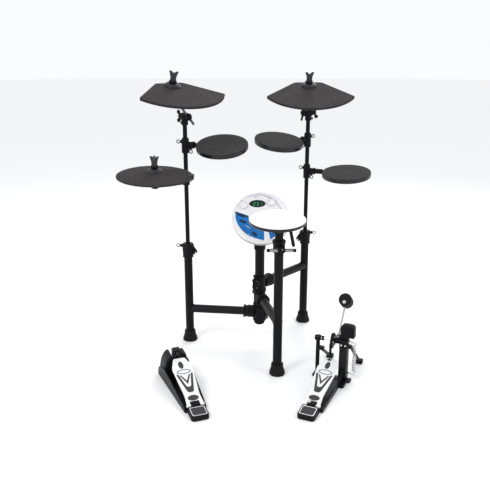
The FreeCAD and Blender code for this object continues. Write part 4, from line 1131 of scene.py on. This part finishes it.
def make_footboard(name):
    node = {"hat": "hat_pedal_footboard", "kick": "kick_footboard"}[name]
    pedal = pedal_place(name)
    normal = flat_face(node, Z)[0]
    place = frame_at(joint_at(name + "_footboard_press"), pedal.to_3x3() @ X, normal)
    half = [(28, 0.3, 2), (25, 42, 12), (35.5, 165, 12), (20, BOARD_LENGTH - 2, 5)]
    outline = half + [(-p[0], p[1], p[2]) for p in reversed(half)]
    outline += [(-15.5, 0.3, 2), (-15.5, 15, 3), (15.5, 15, 3), (15.5, 0.3, 2)]
    plan = eased(outline)
    piece(name + "_board_plate", node, "board_silver", [prism(plan, 0.2, 4, 1.3)], place)
    under = [block((2.6, 118, 9), V(s * 22.5, 114, -3), 0.8) for s in (-1, 1)]
    under += [rod(V(s * 22 - 6, 0, 0), V(s * 22 + 6, 0, 0), 5, 0.8) for s in (-1, 1)]
    trim(name + "_board_ribs", node, "board_silver", under, place)
    outer = [(-28, 136, 2), (-21.5, 136, 2), (-7, 76, 8), (7, 76, 8), (21.5, 136, 2), (28, 136, 2),
             (10, 52, 9), (-10, 52, 9)]
    inlays = [plan_oval(17, 34, (-2, 178)), plan_oval(36, 23, (0, 27)), eased(outer)]
    for s in (-1, 1):
        stroke = [(s * 18, 131, 1), (s * 13.4, 131, 1), (-s * 1.2, 101, 1), (-s * 1.2, 91, 1), (0, 89, 0.5)]
        inlays.append(eased(stroke))
    grips = [prism(outline, 3.6, 4.8, 0.4) for outline in inlays]
    trim(name + "_board_grips", node, "inlay_grey", grips, place)
    lens_out, lens_in = lens_outline(24.0, 11.0), lens_outline(20.8, 8.4)
    trim(name + "_board_lens", node, "print_grey", [band(lens_out, lens_in, 3.6, 4.5)], place)
    return pedal, place


def lens_outline(half_length, half_width):
    """A pointed oval across the board."""
    line = []
    for a in angles(64):
        x = half_length * cos(a)
        line.append(V(x, 146 + copysign(abs(sin(a)) ** 1.25, sin(a)) * half_width))
    return line


def heel_shells():
    plan = eased([(-29, 0, 13), (29, 0, 13), (29, 54, 2), (-29, 54, 2)], steps=8)
    slab = bent(prism(plan, 0, 17, 2.6, 4), lambda p: V(p.x, p.y, p.z * (16.6 + p.y * 0.1) / 17))
    return [slab, block((50, 40, 8), V(0, HINGE_Y - 2, 4)), block((28, 14, 16), V(0, HINGE_Y - 4, 14)),
            rod(V(-14.5, HINGE_Y, HINGE_Z), V(14.5, HINGE_Y, HINGE_Z), 5.5)]


def heel_trim(name, node, place):
    """The heel's grey pad inside its silver outline, and the hinge pin."""
    slope = move(0, 28, 19.5) @ Matrix.Rotation(radians(5.7), 4, "X")
    outer, inner = plan_box(49, 44, 7), plan_box(44, 39, 6)
    frame_line = shifted(band(outer, inner, -0.8, 0.5), slope)
    trim(name + "_heel_outline", node, "outline_silver", [frame_line], place)
    pad = shifted(prism(plan_box(41, 36, 5), -0.8, 0.9, 0.5), slope)
    trim(name + "_heel_grip", node, "inlay_grey", [pad], place)
    pin = [rod(V(-29, HINGE_Y, HINGE_Z), V(29, HINGE_Y, HINGE_Z), 2.9, 0.8)]
    pin += [screw_head(V(s * 28, HINGE_Y, HINGE_Z), X * s, 4.4, 1.8) for s in (-1, 1)]
    trim(name + "_hinge_pin", node, "bright_steel", pin, place)


def make_hat_pedal():
    place = make_footboard("hat")[0]
    node = "hat_pedal_base"
    piece("hat_heel", node, "moulded_black", heel_shells(), place)
    heel_trim("hat", node, place)
    floor = prism(eased([(-32, 58, 3), (32, 58, 3), (45, 320, 6), (-52, 320, 6)]), 0, 5, 1.0)
    shells = [floor]
    for x_side, turn, length in ((-36, 3.8, 352), (32, -2.6, 322)):
        profile = [(60, 0, 2), (length, 0, 4), (length - 10, 34, 14), (length - 60, 52, 24), (200, 40, 20),
                   (64, 16, 6)]
        cheek = sideways(eased(profile), x_side, x_side + 4, 1.0)
        shells.append(shifted(cheek, turned_about(Z, turn, V(x_side, 60, 0))))
    trim("hat_cheeks", node, "powder_black", shells, place)
    housing = [(-50, 0, 2), (-17, 0, 2), (-17, 93, 5), (-25, 93, 8), (-37, 82, 12), (-47, 57, 14),
               (-50, 30, 8)]
    rear = [upright(eased(housing, steps=8), 34.5, 7, 311.5), block((62, 34, 66), V(13, 304, 34), 4, 5),
            block((16, 14, 36), V(-4, 300, 84), 1.5), block((14, 55, 92), V(27, 312, 46), 5, 6)]
    for x, z in ((-51.3, 26), (-50, 38), (-47.5, 50), (-43, 62)):
        rear.append(sideways(eased([(281, z, 1), (340, z, 1), (340, z + 3, 1), (281, z + 3, 1)]), x, -30,
                             1.0))
    trim("hat_housing", node, "cast_black", rear, place, 0.8)
    post = [rod(V(0, 262, 4), V(0, 262, 44), 7, 1.0), rod(V(0, 200, 4), V(0, 200, 22), 6)]
    trim("hat_bumper", node, "foot_rubber", post, place)
    feet = [lathe([(0, 0), (7, 0), (8, 3), (0, 3)], 0.6, 24, at)
            for at in ((-36, 312), (34, 312), (-22, 66), (22, 66))]
    trim("hat_feet", node, "foot_rubber", feet, place)

    control = "hat_pedal_controller"
    box = [shifted(prism(plan_box(27, 28, 4), 87.2, 116.8, 2.4), move(-3, 286, 0)),
           block((8, 34, 24), V(14.7, 292, 92), 2, 2), block((20, 3, 17), V(-3, 271.4, 101), 1.0, 2)]
    piece("hat_control_box", control, "moulded_black", box, place)
    nut = [rod(V(-3, 272, 106), V(-3, 268.6, 106), 4, 0.8),
           shifted(prism(plan_oval(6, 6, count=6), 0, 1.4, 0.3), pointing(-Y, V(-3, 269.2, 106)))]
    nut += [screw_head(V(x, 270.4, 96), -Y, 1.8, 1.0) for x in (-10, 4)]
    trim("hat_control_nut", control, "dark_steel", nut, place)
    lines = [block((27.4, 28.4, 1.0), V(-3, 286, z), 0.3, 4) for z in (97, 110)]
    trim("hat_control_seams", control, "socket_hole", lines, place)


def make_kick_pedal():
    place, board = make_footboard("kick")
    node = "kick_base"
    piece("kick_heel", node, "moulded_black", heel_shells(), place)
    heel_trim("kick", node, place)
    low = [block((44, 258, 5.6), V(4, 172, 2.9), 1.0), block((136, 26, 8), V(-6, AXLE_Y, 4), 1.4, 3),
           rod(V(44, 248, 0), V(44, 248, 12), 9, 1.5), block((18, 50, 10), V(44, 272, 5), 1.5, 4),
           sideways(eased([(62, 0, 2), (296, 0, 2), (290, 60, 6), (282, 56, 10), (240, 21, 20),
                           (62, 14, 4)]), 33, 37, 0.8), block((34, 20, 6), V(18, 74, 3))]
    trim("kick_floor", node, "powder_black", low, place)
    tower = [(AXLE_Y - 13, 8, 3), (AXLE_Y + 14, 8, 3), (AXLE_Y + 14, 132, 4), (AXLE_Y - 14, 132, 4)]
    column = V(-60, AXLE_Y, 0)
    cast = [sideways(eased(tower), 20, 48, 2.5), block((30, 30, 28), V(34, AXLE_Y, AXLE_Z - 3), 3, 4),
            rod(column + Z * 6, column + Z * (AXLE_Z - 6), 7, 1),
            rod(column + Z * (AXLE_Z - 8), column + Z * (AXLE_Z + 7), 12.5, 3.0, 48),
            rod(V(-68, AXLE_Y, AXLE_Z), V(-52, AXLE_Y, AXLE_Z), 9, 1.2)]
    cast += [block((22, 16, 12), V(-48.6, AXLE_Y + 1, 108), 2),
             block((22, 16, 12), V(46.8, AXLE_Y + 13, 126), 2)]
    cast += [rod(column + Z * 6, column + Z * 16, 10, 2.0)]
    trim("kick_tower", node, "cast_black", cast, place, 0.8)
    ribs = [rod(V(22 + 4.0 * k, AXLE_Y - 14.6, 16), V(22 + 4.0 * k, AXLE_Y - 14.6, 130), 1.5, 1.0, 16)
            for k in range(7)]
    trim("kick_tower_ribs", node, "casing_gloss", ribs, place)
    legs, feet = [], []
    for root, end in (((-54, AXLE_Y + 4, 108), (-60, 452, 7)), ((52, AXLE_Y + 16, 126), (52, 452, 7))):
        legs.append(rod(Vector(root), Vector(end), 6, 0.8))
        feet.append(block((24, 26, 14), Vector(end), 3, 4))
    trim("kick_legs", node, "powder_black", legs, place)
    trim("kick_leg_feet", node, "foot_rubber", feet, place)
    spring_y = AXLE_Y + SPRING_Y
    bolts = [rod(V(45, spring_y, 26), V(71, spring_y, 26), 3.2, 0.8),
             ring(V(SPRING_X, spring_y, 26), X, 4.4, 1.0, 24)]
    bolts += [screw_head(V(x, AXLE_Y - 14.8, z), -Y, 3.4, 1.8) for x, z in ((27, 138), (41, 138))]
    trim("kick_fittings", node, "bright_steel", bolts, place)

    low_z, high_z = AXLE_Z + 18, AXLE_Z + 64
    shape = [(19.5, low_z, 4), (68.5, low_z, 4), (68.5, high_z, 17), (19.5, high_z, 17)]
    lip = [(18.8, low_z + 3, 3), (69, low_z + 3, 3), (69, low_z + 9, 3), (18.8, low_z + 9, 3)]
    housing = [upright(eased(shape, steps=9), 12.6, 3.2, AXLE_Y + 6),
               upright(eased(lip), 13, 1.2, AXLE_Y + 6),
               block((30, 22, 8), V(34, AXLE_Y + 4, AXLE_Z + 15), 1.5)]
    piece("kick_sensor_housing", "kick_trigger", "cast_black", housing, place, 0.7)
    make_kick_drive(place, board)


def make_kick_drive(place, board):
    line = place @ move(0, AXLE_Y, AXLE_Z)
    steel = [rod(X * -80, X * 58, 4.8, 1.0), rod(X * 52, X * 58, 8, 1.0),
             block((5.6, 20, 8), V(55, SPRING_Y / 2, -2), 1.0),
             rod(V(55, SPRING_Y, -4), V(71, SPRING_Y, -4), 2.4)]
    piece("kick_axle_rod", "kick_axle", "bright_steel", steel, line)
    rim = []
    for a in angles(96):
        near = min(1.0, 1.3 * max(0.0, cos(a - radians(165)))) ** 0.6
        r = 20 + (CAM_R - 20) * near
        rim.append(V(r * cos(a), r * sin(a)))
    wheel = [sideways(rim, -8, -5.4, 0.6), sideways(rim, -2.6, 0, 0.6),
             sideways(inset(rim, 2.2), -6, -2, 0.3)]
    hub_shell = lathe([(4.9, -12), (9, -12), (12, -8), (12, 0), (9, 2), (4.9, 2)], 0.8, 48)
    collar = tube_between(-46, -38, 8, 4.9)
    turn = pointing(X)
    wheel += [shifted(s, turn) for s in (hub_shell, collar)]
    trim("kick_cam", "kick_axle", "cast_black", wheel, line)
    heads = []
    for a, r in ((0.6, 15), (2.0, 15), (3.0, 24), (3.9, 24), (5.2, 15)):
        spot = V(0, r * cos(a), r * sin(a))
        heads += [screw_head(spot + X * -8, -X, 3.4, 1.8), screw_head(spot, X, 3.4, 1.8)]
    heads.append(screw_head(V(-42, 0, 8), Z, 2.6, 1.6))
    trim("kick_cam_bolts", "kick_axle", "bright_steel", heads, line)

    head_face = flat_face("kick_beater", (place.to_3x3() @ -Y).normalized())[0]
    side = place.to_3x3() @ X
    lean = frame_at(line @ O, side, side.cross(-head_face))
    stem = [rod(V(10, 0, 9), V(10, 0, 150), 2.9, 0.8)]
    piece("kick_beater_stem", "kick_beater", "satin_steel", stem, lean)
    clamp = [shifted(tube_between(3, 17, 10, 5.1, ease=1.2, segments=48), turn),
             block((12, 13, 16), V(10, 0, 13), 2)]
    drum = shifted(lathe([(0, -22), (23, -22, 7), (23, -13), (22.2, -12.4), (23, -11.8), (23, 22, 7),
                          (0, 22)], 0.3, 96), pointing(Y, V(10, 0, 144)))
    trim("kick_beater_head", "kick_beater", "foot_rubber", [drum] + clamp, lean)
    nuts = [shifted(lathe([(0, -0.5), (7, -0.5), (7, 2.2), (5.4, 4, 1), (0, 4)], 0.6, 32),
                    pointing(-Y, V(10, -22, 133))), screw_head(V(10, -6, 13), -Y, 3.4, 2.2)]
    trim("kick_beater_nut", "kick_beater", "satin_steel", nuts, lean)

    low, high = heights("kick_chain")
    y = AXLE_Y - CAM_R - 2
    z_low, z_high = low + 0.2, high - 0.2
    rows = []
    for k in range(25):
        z = z_low + (z_high - z_low) * k / 24
        thick = 1.15 - 0.25 * (k % 2)
        rows.append([V(-4 + p.x, y + p.y, z) for p in plan_box(8.8, thick * 2, 0.8)])
    bends = ("kick_pedal", "kick_footboard", place @ rows[-1][0], place @ rows[0][0])
    piece("kick_strap", "kick_chain", "moulded_black", [skin(rows)], place, bends=bends)
    toe = BOARD_LENGTH - 8.5
    hold = [block((13, 9, 7), V(-4, toe, 7), 1.6, 2)]
    trim("kick_toe_clamp", "kick_footboard", "moulded_black", hold, board)
    small = [screw_head(V(-4 + dx, toe, 10.3), Z, 2.2, 1.5) for dx in (-3.6, 3.6)]
    small += [screw_head(V(-4 + dx, toe - 4.4, 7), -Y, 1.8, 1.2) for dx in (-3.6, 3.6)]
    trim("kick_toe_nuts", "kick_footboard", "bright_steel", small, board)

    low_z, high_z, turns = 33.5, AXLE_Z - 10, 16
    x, y = SPRING_X, AXLE_Y + SPRING_Y
    path = [V(x + 0.6, y, low_z - 3.4), V(x + 3, y, low_z - 2)]
    for k in range(turns * 20 + 1):
        a = k * tau / 20
        path.append(V(x + 5.6 * cos(a), y + 5.6 * sin(a), low_z + (high_z - low_z) * k / (turns * 20)))
    path += [V(x + 3, y, high_z + 1.6), V(x + 0.6, y, high_z + 2.4)]
    bends = ("kick_pedal", "kick_beater", place @ V(x, y, low_z), place @ V(x, y, high_z))
    piece("kick_coil", "kick_spring", "coil_steel", [sweep(path, 1.15, 8)], place, bends=bends)


# ---- whole kit ----
make_post()
for name in RACK:
    make_arm(name)
for name in ("left", "right"):
    make_leg_clamp(name)
    make_pole(name)
    make_tilter(name)
    make_crash(name)
make_front_clamp()
for name in TOMS:
    make_tom(name)
make_hat()
make_snare()
make_module()
make_hat_pedal()
make_kick_pedal()


# ---- stage ----
CAMERA_FROM_HUB = V(-0.056, -2.310)
CAMERA_HEIGHT, CAMERA_PITCH, CAMERA_LENS = 1.0876, 16.54, 47.0
FLOOR_R = 30.0
LIGHTS = (("key", (-1.6, -1.8, 2.6), 1.0, 31.0), ("fill", (2.2, -1.2, 1.6), 1.2, 14.0),
          ("back", (0.6, 2.2, 2.4), 1.4, 26.0))    # place and size in metres, power in watts


def make_camera():
    data = bpy.data.cameras.new("camera")
    data.sensor_width, data.lens = 36.0, CAMERA_LENS
    camera = add_object("camera", data)
    camera.location = (hub.x + CAMERA_FROM_HUB.x, hub.y + CAMERA_FROM_HUB.y, CAMERA_HEIGHT)
    camera.rotation_euler = (radians(90 - CAMERA_PITCH), 0, 0)
    bpy.context.scene.camera = camera


def make_lights():
    world = bpy.data.worlds.new("studio")
    world.use_nodes = True
    sky = world.node_tree.nodes["Background"].inputs
    sky["Color"].default_value = (0.985, 0.99, 1.0, 1)
    sky["Strength"].default_value = 0.98
    bpy.context.scene.world = world
    aim = V(0, 0, 0.5)
    for name, place, size, power in LIGHTS:
        data = bpy.data.lights.new(name, "AREA")
        data.shape, data.size, data.energy = "DISK", size, power
        light = add_object(name, data)
        light.location = place
        light.rotation_euler = (aim - light.location).to_track_quat("-Z", "Y").to_euler()


def make_floor():
    points, faces = skin([[V(FLOOR_R * cos(a), FLOOR_R * sin(a), z) for a in angles(64)]
                          for z in (-0.05, 0.0)])
    mesh = bpy.data.meshes.new("floor")
    mesh.from_pydata(points, [], faces)
    mesh.materials.append(MATERIALS["floor_white"])
    add_object("floor", mesh)


make_camera()
make_lights()
make_floor()
bpy.context.scene.view_settings.view_transform = "Standard"
